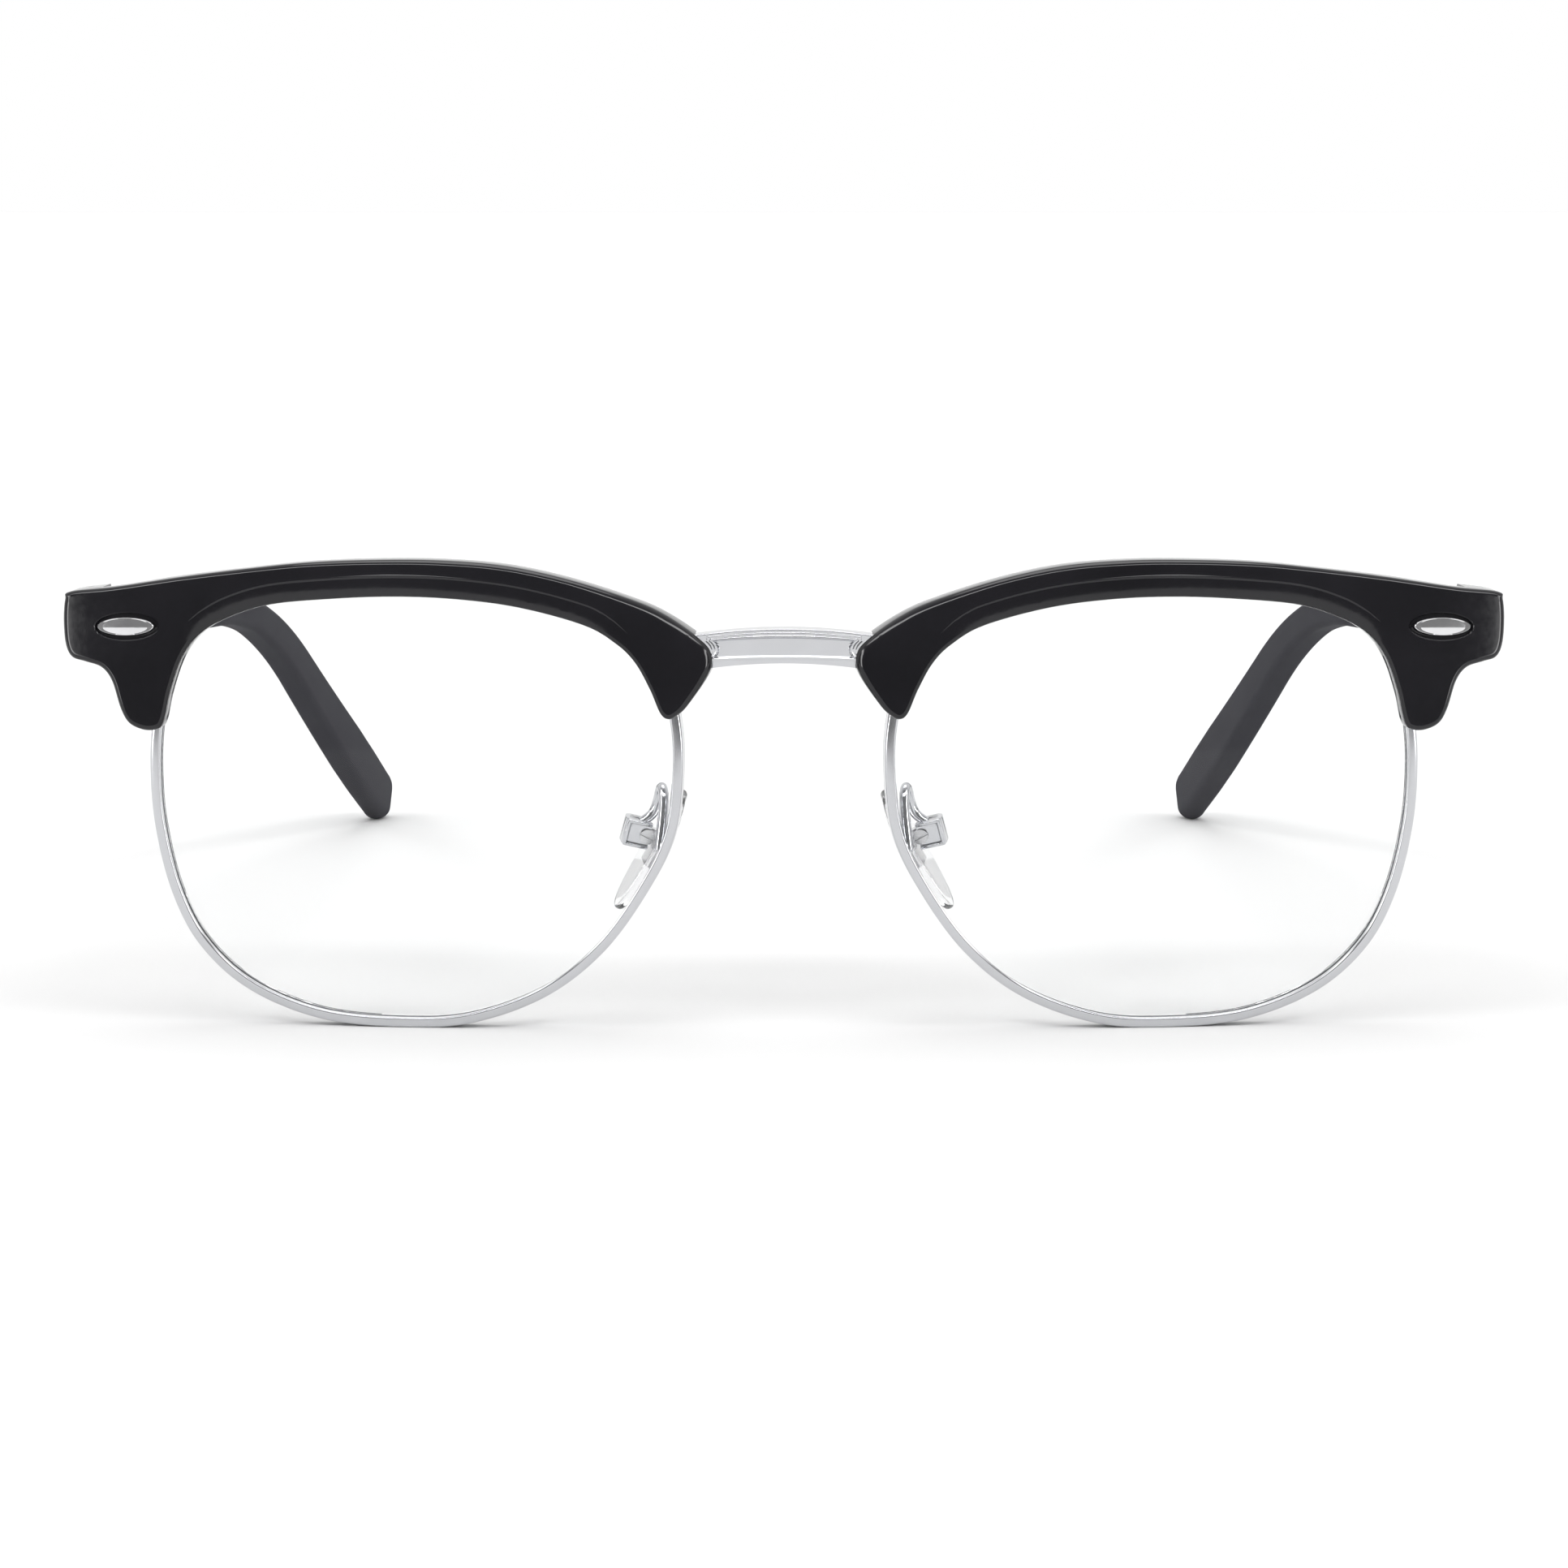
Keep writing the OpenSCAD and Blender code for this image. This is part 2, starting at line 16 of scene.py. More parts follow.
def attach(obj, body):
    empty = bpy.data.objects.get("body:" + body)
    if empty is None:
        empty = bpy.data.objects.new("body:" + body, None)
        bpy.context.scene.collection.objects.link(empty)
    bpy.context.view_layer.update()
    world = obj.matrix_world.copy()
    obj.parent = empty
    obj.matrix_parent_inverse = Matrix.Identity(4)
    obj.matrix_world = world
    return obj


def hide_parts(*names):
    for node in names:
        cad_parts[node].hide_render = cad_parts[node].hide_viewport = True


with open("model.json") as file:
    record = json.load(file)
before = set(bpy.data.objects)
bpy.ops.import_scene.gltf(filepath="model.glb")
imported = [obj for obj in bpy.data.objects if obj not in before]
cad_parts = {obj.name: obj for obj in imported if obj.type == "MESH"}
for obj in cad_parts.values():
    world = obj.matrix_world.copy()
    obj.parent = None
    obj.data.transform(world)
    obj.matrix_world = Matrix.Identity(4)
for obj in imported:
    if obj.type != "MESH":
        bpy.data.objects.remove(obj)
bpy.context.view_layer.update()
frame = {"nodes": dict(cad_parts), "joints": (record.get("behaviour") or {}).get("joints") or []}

# ---- driving dimensions, in millimetres and degrees ----

MM = 0.001
SIDES = (("left", 1), ("right", -1))
FIT_GAP = 0.05

# Lens and eyewire: centre of the lens, radius of its curve, turn of each side
LENS_X, LENS_Z, BASE_RADIUS, WRAP = 35.6, 20.0, 130.0, 4.0
RIM_WIDTH, RIM_DEPTH, LENS_THICKNESS, GROOVE = 1.0, 2.2, 1.6, 0.5
LENS_FRONT, LENS_EDGE_STEP = 0.2, 0.05

# Brow: how far its lip stands in front of the eyewire, and its rear pockets as ranges of x and z
LIP = 2.4
SPLIT_BLOCK = ((25.15, 28.05), (30.95, 34.45))
BLOCK_NOTCH = ((26.3, 28.1), (30.3, 31.0))
END_PIECE = ((31.49, 40), (35.2, 50))
SCREW_X, SCREW_Y, SCREW_CLEARANCE = 27.2, 4.6, 0.9
BEVEL_KNEE, BEAD_WIDTH, RECESS_CHAMFER = 0.06, 0.09, 0.12

# Stud: place on the brow, size, pocket, and how far it stands out
EMBLEM_AT, EMBLEM_SIZE, EMBLEM_RECESS, EMBLEM_BORDER = (64.1, 39.6), (6.0, 1.9), 0.4, 0.35
EMBLEM_PROUD, EMBLEM_RIM, EMBLEM_BEVEL, EMBLEM_TILT = 0.3, 0.16, 0.1, 0.08
EMBLEM_FLAT_BEND, EMBLEM_TIGHT_BEND = 130.0, 10.0

# Bridge: heights of its edges in the middle and how far each falls at 7 mm out, then its bow
BRIDGE_TOP, BRIDGE_FRONT_Z, BRIDGE_REAR_Z = 39.4, 36.4, 35.9
TOP_FALL, FRONT_FALL, REAR_FALL = 0.45, 0.2, 0.5
BRIDGE_RADIUS, BRIDGE_LEAD, BRIDGE_T = 60.0, 0.4, 2.2
BRIDGE_HALF, BRIDGE_TAPER, BRIDGE_EDGE, FACE_SHARE = 13.2, 1.9, 0.15, 0.86

# Sunk panel of the bridge, measured from its middle and down from its top edge
PANEL_END, PANEL_HOLLOW, PANEL_DEEP, PANEL_WALL = 6.8, 0.5, 0.34, 0.14
PANEL_TOP, PANEL_LOW, PANEL_MIDDLE, PANEL_HALF = 0.92, 2.67, 1.8, 0.95
# Fine lines: distance outside the panel, or below the top edge, then half width and depth
PANEL_LINES, BASE_LINE = [(0.3, 0.07, 0.06), (0.6, 0.06, 0.05)], (2.86, 0.05, 0.05)

# Temple: hinge, half heights along the arm, bend behind the ear, toe-in and bow
HINGE_Y, INNER_GAP, STEP_BACK = 11.0, 1.4, 2.8
TEMPLE_LENGTH, TEMPLE_T, TEMPLE_NECK, TEMPLE_WAIST, TEMPLE_TIP = 141.0, 3.2, 2.4, 1.9, 3.3
TEMPLE_BUTT, NECK_AT, WAIST_AT, TIP_RUN = 3.4, 25, 70, 12
ARM_FILLET, TIP_FILLET, BUTT_ROUND, TIP_ROUND = 0.9, 1.5, 0.25, 2.2
BEND_START, BEND_RADIUS, BEND_ANGLE = 54.0, 95.0, 24.5
TOE_IN, BOW = 3.3, 0.0004

# Nose pad and its box, in axes with the pad's screw along y
PAD_CENTRE, PAD_SLANT, PAD_SPLAY = (13.6, 6.2, 18.6), 30.0, 8.0
PAD_LENGTH, PAD_WIDTH, PAD_CROWN, PAD_MIDDLE = 13.5, 7.6, 30.0, (0.8, -1.3)
PAD_FACE, PAD_BACK, PAD_FRONT_ROUND, PAD_REAR_ROUND, PAD_TAPER = -2.55, -1.0, 0.45, 0.3, 0.1
BOX_TURN, BOX_HALF, BOX_ROUND, BAR_ROUND = 16.0, 1.3, 0.12, 0.1
PAD_WIRE_R = 0.5

hinge_joint = next(j for j in frame["joints"] if j["name"] == "temple_fold_left")
HINGE = np.array(hinge_joint["pos_m"]) / MM
SHIFT_Y = HINGE[1] - HINGE_Y
SLOPE = math.atan2(hinge_joint["axis"][1], hinge_joint["axis"][2])

# Outline of the eyewire in the lens's axes, x outward and z up
RIM_POINTS = [
    (-25.7, 26), (-25.3, 31), (-24, 35), (-21.6, 38.4), (-17.2, 41.2), (-10.6, 43.1), (-2, 44),
    (7, 43.9), (14.4, 43.1), (19.4, 41.5), (23.2, 38.8), (25.2, 35), (26.2, 30.6), (26.6, 25.7),
    (26.2, 19.6), (24.6, 12.9), (21.8, 7.6), (17, 3.4), (10, 0.7), (2, 0), (-5, 0.5),
    (-12.3, 3.2), (-18, 7.7), (-22.4, 13.8), (-25, 19.4),
]

# Outline of the brow in the same axes: top edge, nose, lens edge, lug and end piece
BROW_POINTS = [
    (34.5, 42.3), (29.8, 42.9), (23.1, 44), (16.6, 44.9), (10.3, 45.6), (4, 45.9), (-2.4, 45.9),
    (-8.7, 45.4), (-14.8, 44.1), (-21, 42.1), (-24.2, 40.6), (-27.2, 38.5), (-28.5, 37),
    (-28.3, 35), (-26.4, 32.1), (-25.4, 31.1), (-24.5, 30.7), (-23.7, 31.3), (-22.7, 33.6),
    (-21.3, 36.1), (-19.5, 37.9), (-16.4, 39.7), (-10.2, 41.4), (-4, 42.2), (2.2, 42.4),
    (8.5, 42.1), (14.1, 41.5), (18.2, 40.2), (21, 38.6), (22.8, 36.3), (24, 33), (24.7, 30),
    (25.4, 29.3), (26.7, 29.2), (28.2, 29.8), (29.1, 31.2), (30, 33.8), (31.1, 35.1),
    (32.8, 35.6), (34.2, 36), (34.9, 37.2), (35.15, 39.4), (35.05, 41.5),
]
# Rounding of the brow's front edge: place along BROW_POINTS, width, depth
BROW_ROLL = [
    (0, 0.5, 0.5), (2, 0.5, 0.5), (8, 0.6, 0.6), (10, 1.0, 0.85), (12, 1.0, 0.8),
    (13.5, 0.55, 0.55), (15, 0.4, 0.4), (33, 0.4, 0.4), (40, 0.5, 0.5), (43, 0.5, 0.5),
]
# Bevel inside that edge, on the lens side: place along BROW_POINTS, width, depth, bead at its crest
BROW_BEVEL = [
    (0, 0.1, 0, 0), (17, 0.3, 0, 0), (19, 1.2, 0.04, 0), (21, 2.0, 0.17, 0.03),
    (24, 2.05, 0.22, 0.05), (27, 2.0, 0.22, 0.03), (28.5, 1.6, 0.18, 0), (30, 0.9, 0.09, 0),
    (31.5, 0.3, 0, 0), (43, 0.1, 0, 0),
]
# Rounding of the rear edge: place along BROW_POINTS, width, depth
BROW_BACK = [
    (0, 0.3, 0.3), (3, 0.36, 3.0), (9, 0.36, 3.0), (12, 0.3, 0.6), (14, 0.3, 0.3), (43, 0.3, 0.3),
]

# Route of the pad arm's wire, from the back of the eyewire to the pad box
ARM_ROUTE = [
    (12.2, 2.95, 17.4), (12.05, 3.1, 18.6), (11.85, 3.3, 20.4), (11.75, 3.5, 21.8), (11.8, 4, 22.9),
    (11.95, 4.7, 23.3), (12.15, 5.4, 22.9), (12.4, 5.8, 21.8), (12.9, 5.9, 20.6), (13.9, 5.7, 19.8),
]


# ---- curves and frames ----

def spline(a, b, c, d, t):
    """The smooth curve from b to c that comes from a and goes on to d."""
    return b + 0.5 * t * (c - a + t * (2 * a - 5 * b + 4 * c - d + t * (3 * (b - c) + d - a)))


def closed_curve(points, steps):
    p = np.array(points, float)
    a, b, c, d = (np.roll(p, k, axis=0)[:, None, :] for k in (1, 0, -1, -2))
    t = (np.arange(steps) / steps)[None, :, None]
    return spline(a, b, c, d, t).reshape(-1, p.shape[1])


def open_curve(points, steps):
    p = np.array(points, float)
    p = np.vstack([p[:1], p, p[-1:]])
    a, b, c, d = (p[k:len(p) - 3 + k, None, :] for k in range(4))
    t = (np.arange(steps) / steps)[None, :, None]
    return np.vstack([spline(a, b, c, d, t).reshape(-1, p.shape[1]), p[-1:]])


def signed_area(loop):
    x, z = loop[:, 0], loop[:, 1]
    return 0.5 * np.sum(x * np.roll(z, -1) - z * np.roll(x, -1))


def inward_normals(loop):
    tangent = np.roll(loop, -1, axis=0) - np.roll(loop, 1, axis=0)
    tangent /= np.linalg.norm(tangent, axis=1)[:, None]
    normal = np.stack([-tangent[:, 1], tangent[:, 0]], axis=1)
    return normal if signed_area(loop) > 0 else -normal


def inset(loop, distance):
    return loop + inward_normals(loop) * np.reshape(distance, (-1, 1))


def inside(loop, points):
    """Which points lie inside a closed loop."""
    x0, z0 = loop[:, 0][None, :], loop[:, 1][None, :]
    x1, z1 = np.roll(loop[:, 0], -1)[None, :], np.roll(loop[:, 1], -1)[None, :]
    px, pz = points[:, 0][:, None], points[:, 1][:, None]
    spans = (z0 > pz) != (z1 > pz)
    with np.errstate(divide="ignore", invalid="ignore"):
        crossing = x0 + (pz - z0) * (x1 - x0) / (z1 - z0)
    return (np.sum(spans & (px < crossing), axis=1) % 2) == 1


def loop_distance(loop, points):
    """Distance of each point from a closed loop, and the place on the loop, in points."""
    a = loop[None, :, :]
    edge = np.roll(loop, -1, axis=0)[None, :, :] - a
    rel = points[:, None, :] - a
    t = np.clip(np.sum(rel * edge, axis=2) / np.maximum(np.sum(edge * edge, axis=2), 1e-12), 0, 1)
    gap = np.linalg.norm(rel - t[:, :, None] * edge, axis=2)
    best = np.argmin(gap, axis=1)
    row = np.arange(len(points))
    return gap[row, best], best + t[row, best]


def turned(points, degrees, axes):
    """Points turned from the first axis towards the second."""
    a, b = axes
    c, s = math.cos(math.radians(degrees)), math.sin(math.radians(degrees))
    out = np.array(points, float)
    out[:, a] = points[:, a] * c - points[:, b] * s
    out[:, b] = points[:, a] * s + points[:, b] * c
    return out


def from_lens(points):
    """From the lens's axes to the part's."""
    return turned(np.asarray(points, float), WRAP, (0, 1)) + (LENS_X, 0, 0)


def to_lens(points):
    return turned(np.asarray(points, float) - (LENS_X, 0, 0), -WRAP, (0, 1))


def from_arm(points):
    """From the temple's axes, with the hinge pin along z, to the part's."""
    return turned(np.asarray(points, float), -math.degrees(SLOPE), (1, 2)) + (
        HINGE[0], HINGE_Y, HINGE[2])


def from_pad(points):
    """From the pad's axes, with the screw along y, to the part's."""
    splayed = turned(np.asarray(points, float), -PAD_SPLAY, (0, 1))
    return turned(splayed, PAD_SLANT, (0, 2)) + PAD_CENTRE


def shell_y(x, z, depth):
    """Where the sphere that lies depth behind the lens's front surface is, in the lens's axes."""
    r = BASE_RADIUS - depth
    return BASE_RADIUS - np.sqrt(r * r - x * x - (z - LENS_Z) ** 2)


# ---- meshes ----

def add_piece(name, coords, faces, body, material, slot, replaced, side=1, crease=35):
    """A mesh piece from part millimetres, mirrored when side is -1."""
    coords = np.array(coords, float)
    coords[:, 0] *= side
    coords[:, 1] += SHIFT_Y
    mesh = bpy.data.meshes.new(name)
    mesh.from_pydata((coords * MM).tolist(), [], faces)
    work = bmesh.new()
    work.from_mesh(mesh)
    bmesh.ops.remove_doubles(work, verts=work.verts, dist=1e-6)
    bmesh.ops.recalc_face_normals(work, faces=work.faces)
    work.to_mesh(mesh)
    work.free()
    mesh.shade_smooth()
    mesh.set_sharp_from_angle(angle=math.radians(crease))
    mesh.materials.append(material)
    piece = bpy.data.objects.new(name, mesh)
    bpy.context.scene.collection.objects.link(piece)
    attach(piece, body)
    if replaced:
        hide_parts(replaced)
    return piece


def lofted(rings, closed=False):
    """Faces between rings of points, with a fan at each end unless the rings close up."""
    rings = np.array(rings, float)
    count, size = rings.shape[:2]
    coords = rings.reshape(-1, 3)
    faces = []
    for i in range(count if closed else count - 1):
        near, far = i * size, ((i + 1) % count) * size
        for k in range(size):
            after = (k + 1) % size
            faces.append((near + k, near + after, far + after, far + k))
    if not closed:
        ends = np.stack([rings[0].mean(axis=0), rings[-1].mean(axis=0)])
        first, last = len(coords), len(coords) + 1
        coords = np.vstack([coords, ends])
        for k in range(size):
            after = (k + 1) % size
            faces.append((first, after, k))
            faces.append((last, (count - 1) * size + k, (count - 1) * size + after))
    return coords, faces


def joined(*parts):
    coords, faces, start = [], [], 0
    for c, f in parts:
        coords.append(np.asarray(c, float))
        faces += [tuple(start + i for i in face) for face in f]
        start += len(c)
    return np.vstack(coords), faces


def soft_block(x, y, z, radius, segments=3):
    """A box with rounded edges."""
    work = bmesh.new()
    bmesh.ops.create_cube(work, size=1)
    for v in work.verts:
        v.co = Vector([lo + (hi - lo) * (c + 0.5) for (lo, hi), c in zip((x, y, z), v.co)])
    bmesh.ops.bevel(work, geom=work.edges[:], offset=radius, segments=segments, profile=0.5,
                    affect="EDGES", clamp_overlap=True)
    work.verts.index_update()
    coords = np.array([v.co for v in work.verts])
    faces = [tuple(v.index for v in f.verts) for f in work.faces]
    work.free()
    return coords, faces


def soft_prism(profile, low, high, radius, segments=3):
    """A profile in x and y drawn from z low to high, with rounded end edges."""
    profile = np.array(profile, float)
    if signed_area(profile) < 0:
        profile = profile[::-1]
    rings = []
    for k in range(segments + 1):
        angle = math.pi / 2 * k / segments
        rings.append((radius * (1 - math.sin(angle)), low + radius * (1 - math.cos(angle))))
    rings += [(gap, low + high - z) for gap, z in reversed(rings)]
    loops = [np.column_stack([inset(profile, gap), np.full(len(profile), z)]) for gap, z in rings]
    return lofted(loops)


def stepped_plate(rings, cuts, spacing, clear, front_zones, rear_zones):
    """A plate in x and z between a front and a rear height field, with walls at the steps.

    rings are closed loops from the outline inwards, cuts the other loops that faces must follow.
    A zone is (loop or None, function of x and z that gives y); the last loop round a face wins.
    """
    outline = rings[0]
    points, edges = [], []
    for loop in list(rings) + list(cuts):
        start = len(points)
        points += [tuple(p) for p in loop]
        edges += [(start + i, start + (i + 1) % len(loop)) for i in range(len(loop))]
    low, high = outline.min(axis=0), outline.max(axis=0)
    rows = np.arange(low[1], high[1], spacing * 0.866)  # rows of nearly equal-sided triangles
    grid = np.array([
        (x + (spacing / 2 if i % 2 else 0), z)
        for i, z in enumerate(rows) for x in np.arange(low[0], high[0], spacing)
    ])
    grid = grid[inside(rings[-1], grid)]
    for loop in [rings[-1]] + list(cuts):
        grid = grid[loop_distance(loop, grid)[0] > clear]
    points += [tuple(p) for p in grid]
    flat, _, tris, _, _, _ = delaunay_2d_cdt([Vector(p) for p in points], edges, [], 1, 1e-4)
    flat = np.array([tuple(v) for v in flat])
    tris = np.array([tuple(t) for t in tris])
    centres = flat[tris].mean(axis=1)
    keep = inside(outline, centres)
    tris, centres = tris[keep], centres[keep]
    a, b, c = (flat[tris[:, k]] for k in range(3))
    turn = (b[:, 0] - a[:, 0]) * (c[:, 1] - a[:, 1]) - (b[:, 1] - a[:, 1]) * (c[:, 0] - a[:, 0])
    tris[turn < 0] = tris[turn < 0][:, ::-1]

    def zone_of(zones):
        ids = np.zeros(len(centres), int)
        for i, (loop, _) in enumerate(zones):
            if loop is not None:
                ids[inside(loop, centres)] = i
        return ids

    ids = (zone_of(front_zones), zone_of(rear_zones))
    heights = [
        [height(flat[:, 0], flat[:, 1]) for _, height in zones] for zones in (front_zones, rear_zones)
    ]
    places, coords, faces = {}, [], []

    def corner(face_side, zone, v):
        key = (face_side, zone, v)
        if key not in places:
            places[key] = len(coords)
            coords.append((flat[v, 0], heights[face_side][zone][v], flat[v, 1]))
        return places[key]

    neighbour = {}
    for t, tri in enumerate(tris):
        for k in range(3):
            neighbour[(tri[k], tri[(k + 1) % 3])] = t
    for t, tri in enumerate(tris):
        front, rear = ids[0][t], ids[1][t]
        faces.append(tuple(corner(0, front, v) for v in tri))
        faces.append(tuple(corner(1, rear, v) for v in tri[::-1]))
        for k in range(3):
            p, q = tri[k], tri[(k + 1) % 3]
            other = neighbour.get((q, p))
            if other is None:
                faces.append((corner(0, front, q), corner(0, front, p),
                              corner(1, rear, p), corner(1, rear, q)))
                continue
            if other < t:
                continue
            if ids[0][other] != front:
                faces.append((corner(0, front, q), corner(0, front, p),
                              corner(0, ids[0][other], p), corner(0, ids[0][other], q)))
            if ids[1][other] != rear:
                faces.append((corner(1, rear, p), corner(1, rear, q),
                              corner(1, ids[1][other], q), corner(1, ids[1][other], p)))
    return np.array(coords), faces


# ---- material nodes ----

def new_material(name, **inputs):
    material = bpy.data.materials.new(name)
    material.use_nodes = True
    shader = material.node_tree.nodes["Principled BSDF"]
    for key, value in inputs.items():
        shader.inputs[key.replace("_", " ")].default_value = value
    return material, material.node_tree, shader


def object_coords(tree, stretch=(1, 1, 1)):
    coords = tree.nodes.new("ShaderNodeTexCoord")
    mapping = tree.nodes.new("ShaderNodeMapping")
    mapping.inputs["Scale"].default_value = stretch
    tree.links.new(coords.outputs["Object"], mapping.inputs["Vector"])
    return mapping.outputs["Vector"]


def noise(tree, vector, per_mm, detail=3.0, rough=0.5):
    node = tree.nodes.new("ShaderNodeTexNoise")
    node.inputs["Scale"].default_value = per_mm / MM
    node.inputs["Detail"].default_value = detail
    node.inputs["Roughness"].default_value = rough
    tree.links.new(vector, node.inputs["Vector"])
    return node.outputs["Fac"]


def ramp(tree, value, low, high, start=0.3, end=0.7):
    """A colour, or a grey for a number, that varies from low to high with value."""
    node = tree.nodes.new("ShaderNodeValToRGB")
    stops = node.color_ramp.elements
    stops[0].position, stops[1].position = start, end
    for stop, colour in zip(stops, (low, high)):
        stop.color = (*colour, 1) if isinstance(colour, tuple) else (colour, colour, colour, 1)
    tree.links.new(value, node.inputs["Fac"])
    return node.outputs["Color"]


def bump(tree, shader, height, depth_mm, strength=1.0):
    node = tree.nodes.new("ShaderNodeBump")
    node.inputs["Strength"].default_value = strength
    node.inputs["Distance"].default_value = depth_mm * MM
    tree.links.new(height, node.inputs["Height"])
    tree.links.new(node.outputs["Normal"], shader.inputs["Normal"])


def acetate(name, dark, light, rough_low, rough_high, grain, gloss):
    """Cast and tumbled acetate: faint cloudiness, polishing marks and a slightly uneven skin."""
    material, tree, shader = new_material(name, IOR=1.48, Specular_IOR_Level=gloss)
    at = object_coords(tree)
    drawn = object_coords(tree, (1, 0.15, 1))
    cloud = noise(tree, at, 0.12, 4)
    tree.links.new(ramp(tree, cloud, dark, light), shader.inputs["Base Color"])
    marks = noise(tree, drawn, 1.4, 6, 0.65)
    tree.links.new(ramp(tree, marks, rough_low, rough_high), shader.inputs["Roughness"])
    bump(tree, shader, noise(tree, at, grain, 2), 0.004)
    return material


def polished_metal(name, dark, light, rough_low, rough_high, grain, depth_mm, stretch=(1, 1, 1)):
    """Metal with handling haze in its tone and roughness, and fine finishing marks."""
    material, tree, shader = new_material(name, Metallic=1.0)
    at = object_coords(tree)
    haze = noise(tree, at, 0.35, 4)
    tree.links.new(ramp(tree, haze, dark, light), shader.inputs["Base Color"])
    tree.links.new(ramp(tree, noise(tree, at, 0.9, 5, 0.6), rough_low, rough_high),
                   shader.inputs["Roughness"])
    bump(tree, shader, noise(tree, object_coords(tree, stretch), grain, 2), depth_mm)
    return material


def clear_material(name, tint, ior, clarity, rough_low, rough_high, grain, depth_mm):
    """A transparent solid with a faintly uneven surface; below a clarity of 1 it is milky."""
    material, tree, shader = new_material(name, Transmission_Weight=clarity, IOR=ior)
    shader.inputs["Base Color"].default_value = (*tint, 1)
    at = object_coords(tree)
    tree.links.new(ramp(tree, noise(tree, at, 0.3, 3), rough_low, rough_high),
                   shader.inputs["Roughness"])
    bump(tree, shader, noise(tree, at, grain, 2), depth_mm)
    return material


BROW_LOOK = acetate("black gloss acetate", (0.005, 0.0048, 0.0065), (0.009, 0.0085, 0.011),
                    0.05, 0.11, 0.5, 0.5)
TEMPLE_LOOK = acetate("dark satin acetate", (0.042, 0.0415, 0.048), (0.047, 0.0465, 0.053),
                      0.45, 0.52, 1.2, 0.006)
FRAME_LOOK = polished_metal("nickel plated wire", (0.585, 0.59, 0.61), (0.605, 0.61, 0.63),
                            0.12, 0.15, 3.0, 0.0003)
EMBLEM_LOOK = polished_metal("polished stud", (0.72, 0.72, 0.73), (0.8, 0.8, 0.81),
                             0.06, 0.1, 3.0, 0.0008)
HINGE_LOOK = polished_metal("tumbled nickel silver", (0.5, 0.5, 0.51), (0.62, 0.61, 0.6),
                            0.24, 0.38, 2.0, 0.004, (1, 6, 1))
SCREW_LOOK = polished_metal("turned steel", (0.52, 0.52, 0.53), (0.66, 0.66, 0.67),
                            0.18, 0.3, 5.0, 0.003)
CORE_LOOK = polished_metal("drawn steel wire", (0.45, 0.45, 0.46), (0.56, 0.56, 0.57),
                           0.25, 0.35, 3.0, 0.003, (6, 1, 6))
INSERT_LOOK = polished_metal("stamped insert", (0.66, 0.66, 0.67), (0.76, 0.76, 0.77),
                             0.16, 0.26, 3.0, 0.002)
LENS_LOOK = clear_material("clear lens", (0.985, 0.99, 0.99), 1.15, 1.0, 0.0, 0.006, 0.05, 0.0001)
PAD_LOOK = clear_material("clear silicone", (0.985, 0.985, 0.99), 1.2, 0.97, 0.02, 0.05, 0.8, 0.002)


# ---- brow ----

def at_place(table, places, column):
    """A column of a table at places along BROW_POINTS."""
    keys = [row[0] for row in table]
    return np.interp(places % len(BROW_POINTS), keys, [row[column] for row in table])


def emblem_turned(points):
    """From the emblem's axes, centred on the lip's front surface, to the lens's axes."""
    r = BASE_RADIUS + LIP
    x, z = EMBLEM_AT[0] - LENS_X, EMBLEM_AT[1] - LENS_Z
    yaw, pitch = math.degrees(math.asin(x / r)), math.degrees(math.asin(z / r))
    out = turned(np.asarray(points, float) - (0, r, 0), yaw, (0, 1))
    return turned(out, -pitch, (1, 2)) + (0, BASE_RADIUS, LENS_Z)


def oval(grow, steps):
    """An ellipse round the emblem, in x and z."""
    angle = np.linspace(0, 2 * math.pi, steps, endpoint=False)
    half = np.array(EMBLEM_SIZE) / 2 + grow
    return np.column_stack([half[0] * np.cos(angle), half[1] * np.sin(angle)])


def emblem_loop(grow):
    """The oval as a loop in the lens's x and z."""
    flat = oval(grow, 56)
    placed = emblem_turned(np.column_stack([flat[:, 0], np.zeros(len(flat)), flat[:, 1]]))
    return placed[:, [0, 2]]


BROW_STEPS = 9
BROW = closed_curve(BROW_POINTS, BROW_STEPS)
LENS_SIDE = (16, 32)  # the points of BROW_POINTS that run beside the lens
LENS_EDGE = BROW[LENS_SIDE[0] * BROW_STEPS:LENS_SIDE[1] * BROW_STEPS]


def brow_drop(x, z):
    """How far the brow's front falls behind the lip's sphere, from the edge inwards."""
    gap, place = loop_distance(BROW, np.column_stack([x, z]))
    width, depth = (at_place(BROW_ROLL, place / BROW_STEPS, k) for k in (1, 2))
    t = np.clip(1 - gap / width, 0, 1)
    roll = depth * (1 - np.sqrt(1 - t * t))
    gap, place = loop_distance(LENS_EDGE, np.column_stack([x, z]))
    place = LENS_SIDE[0] + place / BROW_STEPS
    width, depth, bead = (at_place(BROW_BEVEL, place, k) for k in (1, 2, 3))
    t = 1 - gap / width
    bevel = depth * (t + np.sqrt(t * t + BEVEL_KNEE * BEVEL_KNEE)) / 2
    return roll + bevel - bead * np.exp(-((gap - width) / BEAD_WIDTH) ** 2)


def brow_rear_edge(x, z, deepest=3.0):
    """How far the brow's rear face comes forward near its outline."""
    gap, place = loop_distance(BROW, np.column_stack([x, z]))
    width, depth = (at_place(BROW_BACK, place / BROW_STEPS, k) for k in (1, 2))
    t = np.clip(1 - gap / width, 0, 1)
    return np.minimum(depth, deepest) * (1 - np.sqrt(1 - t * t))


